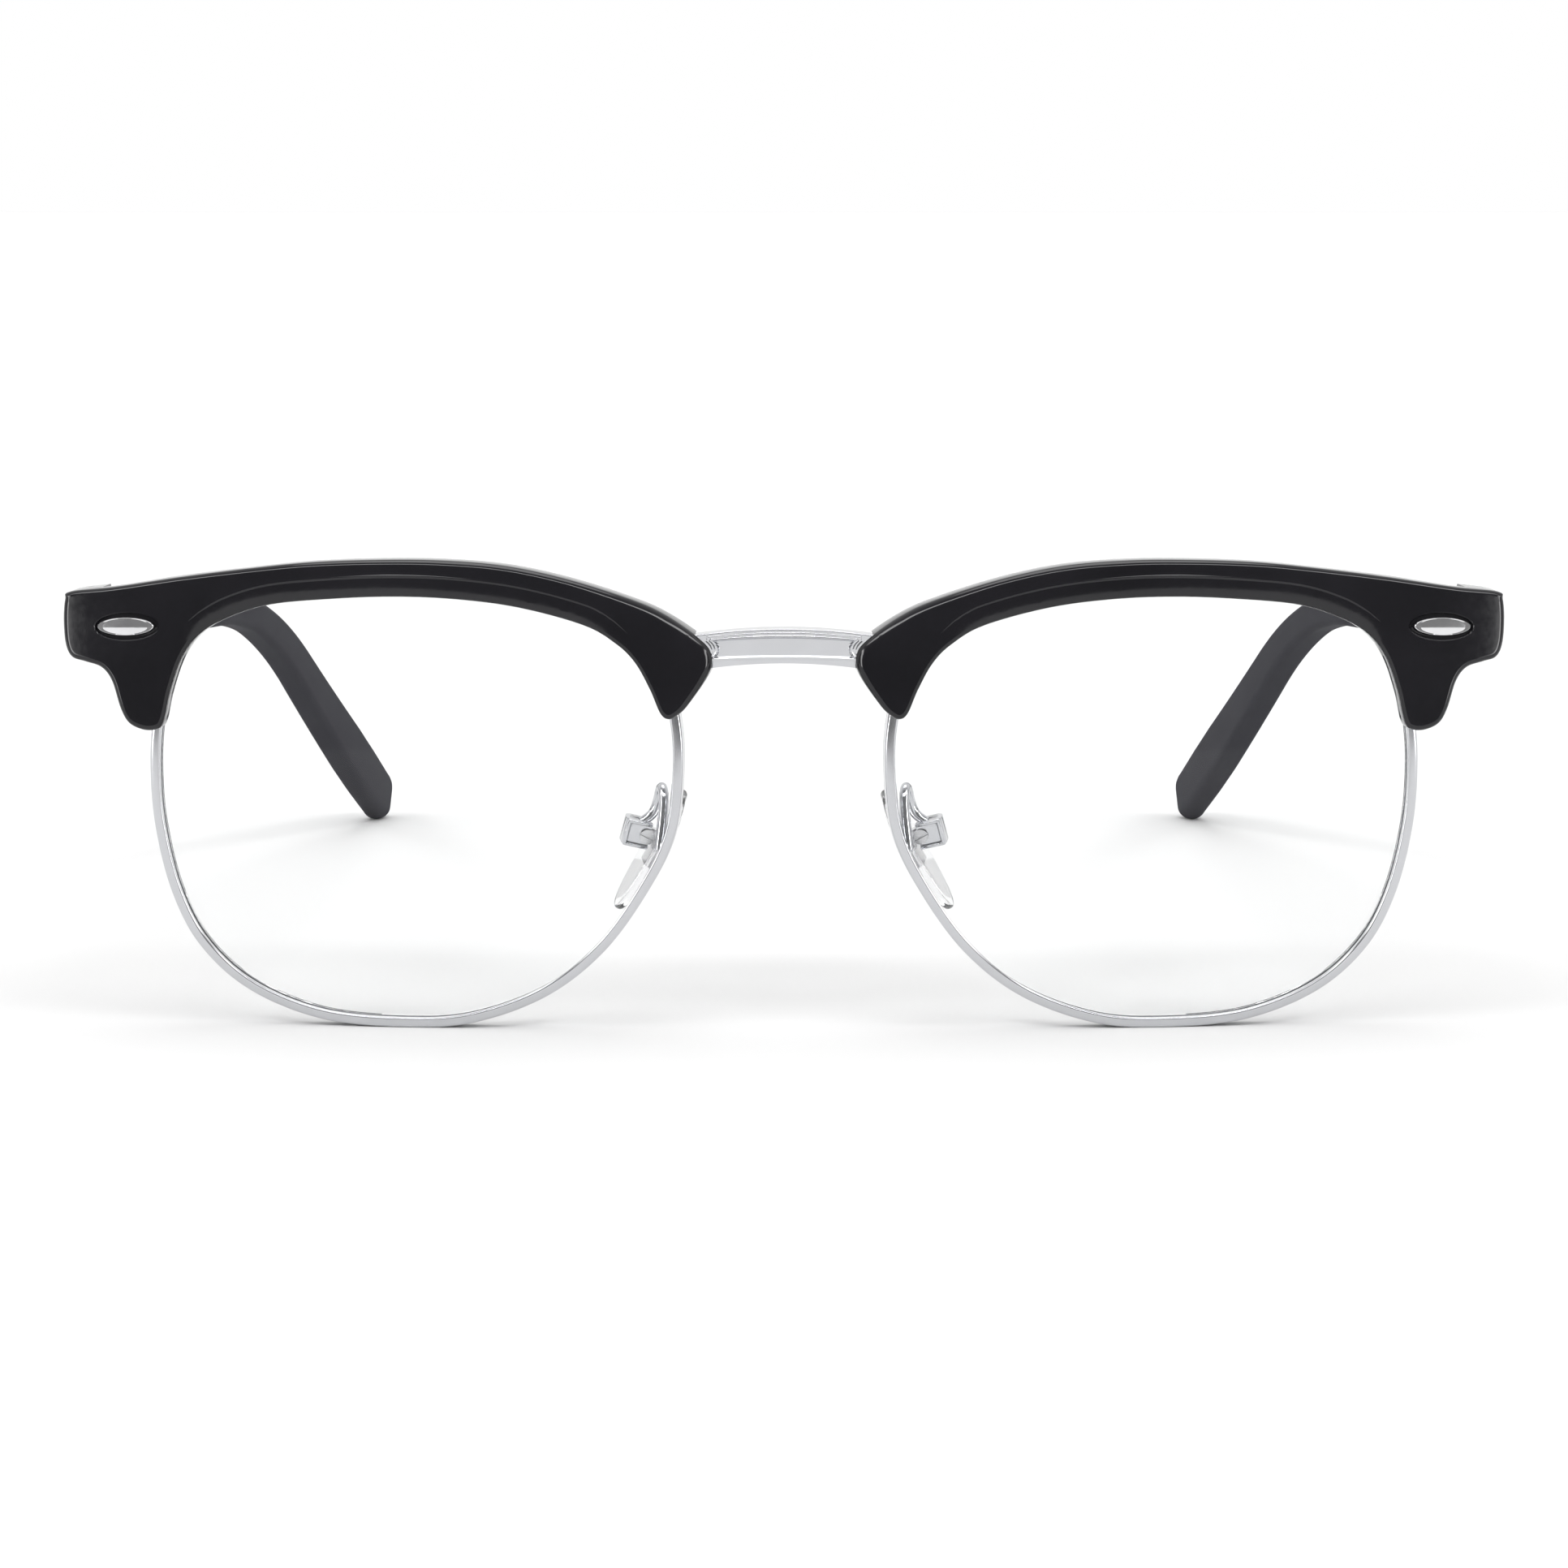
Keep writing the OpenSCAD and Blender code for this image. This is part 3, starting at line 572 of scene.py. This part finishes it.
def arm_plane(x, z, back):
    """Local y of the plane at that distance behind the hinge pin, square to the temple."""
    y = np.full_like(x, 6.0)  # a first guess, which the rounds below bring onto the plane
    for _ in range(3):
        across = from_lens(np.column_stack([x, y, z]))
        goal = HINGE_Y + (z - HINGE[2]) * math.tan(SLOPE) + back / math.cos(SLOPE)
        y = y + (goal - across[:, 1]) / math.cos(math.radians(WRAP))
    return y


def bridge_front(x, z):
    """Local y of the bridge's front face, which the brow clears."""
    r, y = BRIDGE_RADIUS + FIT_GAP, np.zeros_like(x)
    for _ in range(4):
        across = from_lens(np.column_stack([x, y, z]))
        near = np.clip(across[:, 0], -40, 40)
        goal = BRIDGE_RADIUS - BRIDGE_LEAD - np.sqrt(r * r - near * near)
        y = y + (goal - across[:, 1]) / math.cos(math.radians(WRAP))
    return y


def bridge_edge(z, fall, x):
    """Height at x of an edge of the bridge, which falls by that much at 7 mm out."""
    return z - fall * (x / 7) ** 2


def bridge_pocket():
    """The bridge's end in the lens's axes, as a loop in x and z."""
    x = np.arange(2, 15, 1.0)
    top = np.column_stack([x, bridge_edge(BRIDGE_TOP, TOP_FALL, x) + FIT_GAP])
    low = np.column_stack([x, bridge_edge(BRIDGE_REAR_Z, REAR_FALL, x) - FIT_GAP])[::-1]
    loop = np.vstack([top, low])
    return to_lens(np.column_stack([loop[:, 0], np.full(len(loop), 1.5), loop[:, 1]]))[:, [0, 2]]


def rectangle(x, z):
    """A loop round a range of x and a range of z."""
    return np.array([(x[0], z[0]), (x[1], z[0]), (x[1], z[1]), (x[0], z[1])], float)


def brow_mesh():
    """The brow with its rolled edge, its bevel beside the lens and its pockets behind."""
    place = np.arange(len(BROW)) / BROW_STEPS
    roll = at_place(BROW_ROLL, place, 1)
    bevel = at_place(BROW_BEVEL, place, 1)
    rings = [BROW] + [inset(BROW, roll * (1 - math.cos(math.pi / 2 * k / 6))) for k in range(1, 7)]
    crest = np.maximum(bevel, roll + 0.3)
    rings += [inset(BROW, crest + gap) for gap in (-0.2, -0.1, -0.05, 0, 0.05, 0.1, 0.2)]
    rim = inset(closed_curve(RIM_POINTS, 12), -FIT_GAP)
    block, notch, end_piece = (rectangle(*at) for at in (SPLIT_BLOCK, BLOCK_NOTCH, END_PIECE))
    pocket = bridge_pocket()
    outer, inner = emblem_loop(EMBLEM_BORDER + RECESS_CHAMFER), emblem_loop(EMBLEM_BORDER)

    def face(x, z):
        return shell_y(x, z, -LIP) + brow_drop(x, z)

    def chamfer(x, z):
        gap, _ = loop_distance(outer, np.column_stack([x, z]))
        return face(x, z) + np.minimum(gap, RECESS_CHAMFER)

    def recess(x, z):
        return face(x, z) + EMBLEM_RECESS

    def rear(x, z):
        limit = np.minimum(shell_y(x, z, RIM_DEPTH), arm_plane(x, z, -STEP_BACK))
        return limit - brow_rear_edge(x, z)

    def end_rear(x, z):
        return arm_plane(x, z, 0) - brow_rear_edge(x, z, 0.3)

    def screw_groove(x, z):
        return SCREW_Y - np.sqrt(np.maximum(SCREW_CLEARANCE ** 2 - (x - SCREW_X) ** 2, 0.0))

    def lip_rear(x, z):
        return shell_y(x, z, -FIT_GAP) - brow_rear_edge(x, z, 0.1)

    front_zones = [(None, face), (outer, chamfer), (inner, recess)]
    rear_zones = [
        (None, rear), (end_piece, end_rear), (pocket, bridge_front), (rim, lip_rear),
        (block, lip_rear), (notch, screw_groove),
    ]
    cuts = [outer, inner, rim, block, notch, end_piece, pocket]
    coords, faces = stepped_plate(rings, cuts, 0.9, 0.3, front_zones, rear_zones)
    return from_lens(coords), faces


# ---- eyewire and lens ----

RIM = closed_curve(RIM_POINTS, 16)


def on_shell(loop, depth):
    """A flat loop carried onto the sphere that depth behind the lens's curve gives."""
    x, z = loop[:, 0], loop[:, 1]
    return from_lens(np.column_stack([x, shell_y(x, z, depth), z]))


def corner_arc(centre, radius, start, steps=4):
    """Points of a quarter circle, from an angle in degrees onwards."""
    angles = [math.radians(start + 90 * k / steps) for k in range(steps + 1)]
    return [(centre[0] + radius * math.cos(a), centre[1] + radius * math.sin(a)) for a in angles]


def eyewire_mesh():
    """The grooved wire, as a section of inset and depth carried round the rim, and its block."""
    r = 0.22
    low, high = 0.65, 1.35
    floor_at = RIM_WIDTH - GROOVE
    groove = [(RIM_WIDTH, low), (floor_at, low), (floor_at, high), (RIM_WIDTH, high)]
    section = corner_arc((r, r), r, 180) + corner_arc((RIM_WIDTH - r, r), r, 270) + groove
    section += corner_arc((RIM_WIDTH - r, RIM_DEPTH - r), r, 0) + corner_arc((r, RIM_DEPTH - r), r, 90)
    rings = [on_shell(inset(RIM, gap), depth) for gap, depth in section]
    wire = lofted(rings, closed=True)
    blocks = []
    for z in ((31.0, 32.55), (32.85, 34.4)):
        coords, faces = soft_block((25.3, 28.0), (3.5, 5.65), z, 0.25)
        blocks.append((from_lens(coords), faces))
    return joined(wire, *blocks)


def lens_mesh():
    """Front face, V edge in the wire's groove, and rear face."""
    edge, crest = RIM_WIDTH + FIT_GAP, RIM_WIDTH - GROOVE + 0.12
    wide = edge - LENS_EDGE_STEP
    front, back = LENS_FRONT, LENS_FRONT + LENS_THICKNESS
    centre = RIM.mean(axis=0)
    body = inset(RIM, edge)
    shares = np.linspace(0.02, 1, 26)[:-1]
    profile = [(edge, front), (wide, front + 0.07), (wide, 0.62), (crest, 0.98), (crest, 1.02),
               (wide, 1.38), (wide, back - 0.07), (edge, back)]
    rings = [on_shell(centre + (body - centre) * share, front) for share in shares]
    rings += [on_shell(inset(RIM, gap), depth) for gap, depth in profile]
    rings += [on_shell(centre + (body - centre) * share, back) for share in shares[::-1]]
    return lofted(rings)


# ---- bridge ----

def bridge_moulding(x, down):
    """How far the face lies behind its front plane, down millimetres below the top."""
    bulge = np.clip(1 - ((down - PANEL_MIDDLE) / PANEL_HALF) ** 2, 0, 1)
    outside = np.maximum(PANEL_TOP - down, down - PANEL_LOW)
    outside = np.maximum(np.abs(x) - (PANEL_END - PANEL_HOLLOW * bulge), outside)
    cut = PANEL_DEEP * np.clip(0.5 - outside / PANEL_WALL, 0, 1)
    for at, half, deep in PANEL_LINES:
        cut = cut + deep * np.exp(-((outside - at) / half) ** 2)
    at, half, deep = BASE_LINE
    return cut + deep * np.exp(-((down - at) / half) ** 2)


def bridge_ring(u):
    """The bar's section at u, from -1 to 1 along it: down the face, then up the rear."""
    def station(share):
        x = u * (BRIDGE_HALF - BRIDGE_TAPER * share)
        bow = BRIDGE_RADIUS - BRIDGE_LEAD - math.sqrt(BRIDGE_RADIUS ** 2 - x * x)
        return (x, bow, bridge_edge(BRIDGE_TOP, TOP_FALL, x),
                bridge_edge(BRIDGE_FRONT_Z, FRONT_FALL, x), bridge_edge(BRIDGE_REAR_Z, REAR_FALL, x))

    ring = []
    for share in np.linspace(0, 1, 91):
        x, bow, top, front_low, _ = station(share * FACE_SHARE)
        t = max(0.0, 1 - min(share, 1 - share) * (top - front_low) / BRIDGE_EDGE)
        roll = BRIDGE_EDGE * (1 - math.sqrt(1 - t * t))
        down = share * (BRIDGE_TOP - BRIDGE_FRONT_Z)
        ring.append((x, bow + roll + bridge_moulding(x, down), top + (front_low - top) * share))
    # Underside and lower rear: place down the bar, distance behind the bow, share of the lower step
    for share, back, step in ((0.87, 1.15, 0.0), (0.9, 1.22, 0.12), (1.0, 1.26, 1.0),
                              (1.0, 1.35, 1.0), (1.0, BRIDGE_T - 0.2, 1.0), (0.97, BRIDGE_T, 0.75)):
        x, bow, _, front_low, rear_low = station(share)
        ring.append((x, bow + back, front_low + (rear_low - front_low) * step))
    # Upper rear and top: place down the bar, distance behind the bow, distance below the top
    for share, back, down in ((0.05, BRIDGE_T, 0.25), (0.0, BRIDGE_T - 0.2, 0.0), (0.0, 1.2, 0.0),
                              (0.0, 0.3, 0.0)):
        x, bow, top, _, _ = station(share)
        ring.append((x, bow + back, top - down))
    return ring


def bridge_mesh():
    """A bowed bar: mouldings, a sunk panel with hollow ends, and a lower rear step."""
    return lofted([bridge_ring(u) for u in np.linspace(-1, 1, 321)])


# ---- emblem ----

def emblem_mesh():
    """A shallow dome with a bevelled rim."""
    outline, fall = oval(0, 96), 0.03
    dome = outline * (1 - EMBLEM_RIM / (EMBLEM_SIZE[1] / 2))
    rings = [(dome * share, fall) for share in np.linspace(0.04, 1, 16)]
    rings += [(inset(outline, EMBLEM_RIM - fall), 0.0), (inset(outline, EMBLEM_BEVEL), 0.0),
              (inset(outline, 0.02), EMBLEM_BEVEL)]
    placed = []
    for flat, back in rings:
        x, z = flat[:, 0], flat[:, 1]
        y = x ** 2 / EMBLEM_FLAT_BEND + z ** 2 / EMBLEM_TIGHT_BEND - EMBLEM_TILT * z - EMBLEM_PROUD
        placed.append(np.column_stack([x, y + back, z]))
    for y in (0.15, EMBLEM_RECESS):
        placed.append(np.column_stack([outline[:, 0], np.full(len(outline), y), outline[:, 1]]))
    return lofted([from_lens(emblem_turned(ring)) for ring in placed])


# ---- temple ----

def arm_turn(s):
    """Degrees that the arm has turned down at s millimetres along it."""
    return max(0.0, min(math.degrees((s - BEND_START) / BEND_RADIUS), BEND_ANGLE))


def arm_point(s):
    """The arm's middle line in y and z."""
    if s < BEND_START:
        return np.array([s, 0.0])
    a = math.radians(arm_turn(s))
    rest = max(0.0, s - BEND_START - BEND_RADIUS * math.radians(BEND_ANGLE))
    return np.array([BEND_START + BEND_RADIUS * math.sin(a) + rest * math.cos(a),
                     -BEND_RADIUS * (1 - math.cos(a)) - rest * math.sin(a)])


def arm_half(s):
    """Half the arm's height."""
    places = [0, NECK_AT, WAIST_AT, TEMPLE_LENGTH - TIP_RUN, TEMPLE_LENGTH]
    halves = [TEMPLE_BUTT, TEMPLE_NECK, TEMPLE_WAIST, TEMPLE_TIP, TEMPLE_TIP]
    return float(np.interp(s, places, halves))


def arm_face(y):
    """How far the arm's outer face is from the hinge pin."""
    return INNER_GAP + TEMPLE_T - math.tan(math.radians(TOE_IN)) * y - BOW * y * y


def temple_mesh():
    """Rounded sections along the arm, drawn in to a round tip."""
    butt_at, thick = 0.1, TEMPLE_T / 2
    sections = []
    for k in range(4):
        angle = math.pi / 2 * k / 4
        shrink = BUTT_ROUND * (1 - math.sin(angle))
        s = butt_at + BUTT_ROUND * (1 - math.cos(angle))
        sections.append((s, arm_half(0) - shrink, thick - shrink, ARM_FILLET))
    for s in np.linspace(butt_at + BUTT_ROUND, TEMPLE_LENGTH - TEMPLE_TIP, 110):
        fillet = np.interp(s, [TEMPLE_LENGTH - 20, TEMPLE_LENGTH - 4], [ARM_FILLET, TIP_FILLET])
        sections.append((s, arm_half(s), thick, float(fillet)))
    for k in range(1, 25):
        left = TEMPLE_TIP * (1 - math.sin(math.pi / 2 * k / 24))
        height = math.sqrt(max(TEMPLE_TIP ** 2 - (TEMPLE_TIP - left) ** 2, 0))
        half = thick * math.sqrt(max(1 - max(1 - left / TIP_ROUND, 0) ** 2, 0))
        sections.append((TEMPLE_LENGTH - left, height, half, min(TIP_FILLET, height)))
    rings = []
    for s, height, half, corner in sections:
        a = math.radians(arm_turn(s))
        middle = arm_point(s)
        across = min(corner, half)
        ring = []
        for sx, sz, start in ((1, 1, 0), (-1, 1, 90), (-1, -1, 180), (1, -1, 270)):
            for k in range(7):
                angle = math.radians(start + 90 * k / 6)
                x = sx * (half - across) + across * math.cos(angle)
                up = sz * max(height - corner, 0) + corner * math.sin(angle)
                y, z = middle + up * np.array([math.sin(a), math.cos(a)])
                ring.append((arm_face(y) - thick + x, y, z))
        rings.append(ring)
    coords, faces = lofted(rings)
    return from_arm(coords), faces


# ---- nose pad and arm ----

def pad_mesh():
    """An egg-shaped pad with a crowned face towards the nose and soft edges."""
    t = np.linspace(0, 2 * math.pi, 72, endpoint=False)
    half_width = PAD_WIDTH / 2 * (1 - PAD_TAPER * np.cos(t))
    outline = np.column_stack([half_width * np.sin(t), PAD_LENGTH / 2 * np.cos(t)])
    radial = np.linalg.norm(outline, axis=1)[:, None]
    front, rear = PAD_FRONT_ROUND, PAD_REAR_ROUND

    def crowned(points):
        off_axis = points[:, 0] ** 2 + points[:, 1] ** 2
        return PAD_FACE + PAD_CROWN - np.sqrt(PAD_CROWN ** 2 - off_axis)

    def ring(x, flat):
        return np.column_stack([np.broadcast_to(x, len(flat)), flat])

    rim, last = outline * (1 - front / radial), outline * (1 - rear / radial)
    rings = [ring(crowned(rim * share), rim * share) for share in np.linspace(0.03, 1, 12)]
    for k in range(1, 7):
        angle = math.pi / 2 * k / 6
        flat = outline * (1 - front * (1 - math.sin(angle)) / radial)
        rings.append(ring(crowned(rim) + front * (1 - math.cos(angle)), flat))
    for k in range(7):
        angle = math.pi / 2 * k / 6
        flat = outline * (1 - rear * (1 - math.cos(angle)) / radial)
        rings.append(ring(PAD_BACK - rear * (1 - math.sin(angle)), flat))
    rings += [ring(PAD_BACK, last * share) for share in np.linspace(1, 0.03, 8)[1:]]
    coords, faces = lofted(np.array(rings) + (0, *PAD_MIDDLE))
    return from_pad(coords), faces


def arm_wire_mesh():
    """A round wire along its route, with rounded ends."""
    path = open_curve(ARM_ROUTE, 10)
    tangent = np.gradient(path, axis=0)
    tangent /= np.linalg.norm(tangent, axis=1)[:, None]
    side_axis = np.cross(tangent, [0, 1, 0])
    side_axis /= np.linalg.norm(side_axis, axis=1)[:, None]
    up_axis = np.cross(tangent, side_axis)
    angle = np.linspace(0, 2 * math.pi, 20, endpoint=False)[:, None]
    stations = [(i, 0.0, PAD_WIRE_R) for i in range(len(path))]
    cap = [(math.sin(a), math.cos(a)) for a in math.pi * np.array([0.125, 0.25, 0.375, 0.49])]
    head = [(0, -PAD_WIRE_R / 2 * s, PAD_WIRE_R * c) for s, c in reversed(cap)]
    tail = [(len(path) - 1, PAD_WIRE_R / 2 * s, PAD_WIRE_R * c) for s, c in cap]
    rings = []
    for i, along, radius in head + stations + tail:
        rings.append(path[i] + along * tangent[i]
                     + radius * (np.cos(angle) * side_axis[i] + np.sin(angle) * up_axis[i]))
    return lofted(rings)


def pad_box_mesh():
    """A folded cup whose cheeks hold the pad's lug, with a raised frame round the screw's head."""
    mouth, bar_inside = -0.3, 0.98
    outer = corner_arc((1.6, 0.75), 0.7, 0, 5) + [(mouth, 1.45), (mouth, 0.72)]
    inner = corner_arc((1.4, 0.32), 0.4, 0, 4)
    half = outer + inner[::-1]
    profile = half + [(x, -y) for x, y in reversed(half)]
    cup = soft_prism(profile, -BOX_HALF, BOX_HALF, BOX_ROUND)
    bars = [
        soft_block((mouth, 2.2), (-1.8, -1.35), (bar_inside, BOX_HALF), BAR_ROUND),
        soft_block((mouth, 2.2), (-1.8, -1.35), (-BOX_HALF, -bar_inside), BAR_ROUND),
        soft_block((1.85, 2.25), (-1.8, -1.3), (-1.2, 1.2), BAR_ROUND),
    ]
    coords, faces = joined(cup, *bars)
    return from_pad(turned(coords, -BOX_TURN, (0, 2))), faces


# ---- pieces ----

# Piece, node it replaces, mesh, body, material, slot and the angle in degrees that counts as an edge
PIECES = [
    ("acetate_brow", "brow", brow_mesh, "front", BROW_LOOK, "brow_acetate", 35),
    ("wire_rim", "eyewire", eyewire_mesh, "front", FRAME_LOOK, "frame_metal", 35),
    ("clear_lens", "lens", lens_mesh, "front", LENS_LOOK, "lens_clear", 30),
    ("oval_stud", "emblem", emblem_mesh, "front", EMBLEM_LOOK, "emblem_metal", 40),
    ("pad_wire", "pad_arm", arm_wire_mesh, "front", FRAME_LOOK, "frame_metal", 60),
    ("pad_channel", "pad_box", pad_box_mesh, "front", FRAME_LOOK, "frame_metal", 35),
    ("silicone_pad", "nose_pad", pad_mesh, "pad", PAD_LOOK, "pad_silicone", 60),
    ("acetate_temple", "temple", temple_mesh, "temple_arm", TEMPLE_LOOK, "temple_acetate", 35),
]
for title, node, build, body, look, finish_slot, crease in PIECES:
    coords, faces = build()
    for side_name, side in SIDES:
        rides = body if body == "front" else f"{body}_{side_name}"
        add_piece(f"{title}_{side_name}", coords, faces, rides, look, finish_slot,
                  f"{node}_{side_name}", side, crease)
add_piece("moulded_bridge", *bridge_mesh(), "front", FRAME_LOOK, "frame_metal", "bridge", 1, 35)

# Nodes that keep their own mesh
CAD_LOOKS = {
    "brow_screw": SCREW_LOOK, "rim_screw": SCREW_LOOK, "hinge_screw": SCREW_LOOK,
    "pad_screw": SCREW_LOOK, "front_rivets": SCREW_LOOK, "rear_rivets": SCREW_LOOK,
    "hinge_front_leaf": HINGE_LOOK, "hinge_rear_leaf": HINGE_LOOK,
    "pad_insert": INSERT_LOOK, "temple_core": CORE_LOOK,
}
for node, look in CAD_LOOKS.items():
    for side_name, _ in SIDES:
        mesh = frame["nodes"][f"{node}_{side_name}"].data
        mesh.materials.clear()
        mesh.materials.append(look)


# ---- stage, light and camera ----

FLOOR_FRONT, FLOOR_REACH = -1.5, 30  # metres
PAPER_DARK, PAPER_LIGHT = 0.732, 0.736
SUN_WIDTH, SUN_TILT, SUN_ENERGY = 40, -6, 0.9  # degrees, degrees and strength
BACKDROP_TONE, LAMP_BRIGHTNESS = 1.0, 7.0
CAMERA_BACK, CAMERA_UP, CAMERA_DOWNWARD = 400.0, 80.0, 7.93  # millimetres and degrees
FOCAL_SHARE = 2.6661  # focal length over the width of the film


def floor_mesh():
    """A flat floor from in front of the object to far behind it."""
    x = np.concatenate([-np.geomspace(FLOOR_REACH, 0.1, 12), np.geomspace(0.1, FLOOR_REACH, 12)])
    y = np.concatenate([np.linspace(FLOOR_FRONT, 0.3, 6), np.geomspace(0.5, FLOOR_REACH, 10)])
    coords = [(a, b, 0.0) for a in x for b in y]
    n = len(y)
    faces = [(i * n + k, (i + 1) * n + k, (i + 1) * n + k + 1, i * n + k + 1)
             for i in range(len(x) - 1) for k in range(n - 1)]
    return coords, faces


floor_coords, floor_faces = floor_mesh()
floor_data = bpy.data.meshes.new("paper_floor")
floor_data.from_pydata(floor_coords, [], floor_faces)
floor = bpy.data.objects.new("paper_floor", floor_data)
bpy.context.scene.collection.objects.link(floor)
paper, paper_tree, paper_shader = new_material("matt paper", Roughness=1.0, Specular_IOR_Level=0.0)
mottle = noise(paper_tree, object_coords(paper_tree), 0.002)
paper_tone = ramp(paper_tree, mottle, PAPER_DARK, PAPER_LIGHT)
paper_tree.links.new(paper_tone, paper_shader.inputs["Base Color"])
floor_data.materials.append(paper)

sun_data = bpy.data.lights.new("soft sun", "SUN")
sun_data.angle = math.radians(SUN_WIDTH)
sun_data.energy = SUN_ENERGY
sun = bpy.data.objects.new("soft sun", sun_data)
sun.rotation_euler = (math.radians(SUN_TILT), 0, 0)
bpy.context.scene.collection.objects.link(sun)

world = bpy.data.worlds.new("studio")
world.use_nodes = True
bpy.context.scene.world = world
tree = world.node_tree
direction = tree.nodes.new("ShaderNodeTexCoord")
split = tree.nodes.new("ShaderNodeSeparateXYZ")
tree.links.new(direction.outputs["Generated"], split.inputs["Vector"])


def graded(value, stops):
    """A grey that runs through stops of (value from -1 to 1, brightness from 0 to 1)."""
    spread = tree.nodes.new("ShaderNodeMapRange")
    spread.inputs["From Min"].default_value = -1.0
    tree.links.new(value, spread.inputs["Value"])
    node = tree.nodes.new("ShaderNodeValToRGB")
    marks = node.color_ramp.elements
    while len(marks) < len(stops):
        marks.new(0.5)
    for mark, (place, grey) in zip(marks, stops):
        mark.position = (place + 1) / 2
        mark.color = (grey, grey, grey, 1)
    tree.links.new(spread.outputs["Result"], node.inputs["Fac"])
    return node.outputs["Color"]


def combined(operation, a, b):
    """A maths node on two sockets, or on a socket and a number."""
    node = tree.nodes.new("ShaderNodeMath")
    node.operation = operation
    for socket, item in zip(node.inputs, (a, b)):
        if isinstance(item, float):
            socket.default_value = item
        else:
            tree.links.new(item, socket)
    return node.outputs["Value"]


# The room is dim in front of the glasses and white behind; a strip lamp hangs above, in front of
# them, and an upright lamp stands on either side of it.
sideways, depth, height = (split.outputs[axis] for axis in "XYZ")
room = graded(depth, [(-1, 0.22), (-0.5, 0.26), (-0.1, 0.6), (0.35, 0.9),
                      (0.8, BACKDROP_TONE), (1, BACKDROP_TONE)])
ahead = graded(depth, [(-1, 1), (-0.25, 1), (-0.1, 0)])
strip = graded(height, [(0.67, 0), (0.7, 1), (0.76, 1), (0.79, 0)])
upright_height = graded(height, [(-0.1, 0), (-0.02, 1), (0.5, 1), (0.6, 0)])
upright_width = graded(sideways, [(-0.88, 0), (-0.85, 1), (-0.77, 1), (-0.73, 0),
                                  (0.73, 0), (0.77, 1), (0.85, 1), (0.88, 0)])
uprights = combined("MULTIPLY", upright_height, upright_width)
lamps_ahead = combined("MULTIPLY", combined("ADD", strip, uprights), ahead)
lamps = combined("MULTIPLY", lamps_ahead, LAMP_BRIGHTNESS)
background = tree.nodes["Background"]
tree.links.new(combined("ADD", room, lamps), background.inputs["Color"])
background.inputs["Strength"].default_value = 1.0

camera_data = bpy.data.cameras.new("camera")
camera_data.sensor_width = 36
camera_data.lens = FOCAL_SHARE * camera_data.sensor_width
camera_data.clip_start, camera_data.clip_end = 0.01, 60
camera = bpy.data.objects.new("camera", camera_data)
camera.location = (0, (SHIFT_Y - CAMERA_BACK) * MM, CAMERA_UP * MM)
camera.rotation_euler = (math.radians(90 - CAMERA_DOWNWARD), 0, 0)
bpy.context.scene.collection.objects.link(camera)
bpy.context.scene.camera = camera
bpy.context.scene.view_settings.view_transform = "Standard"
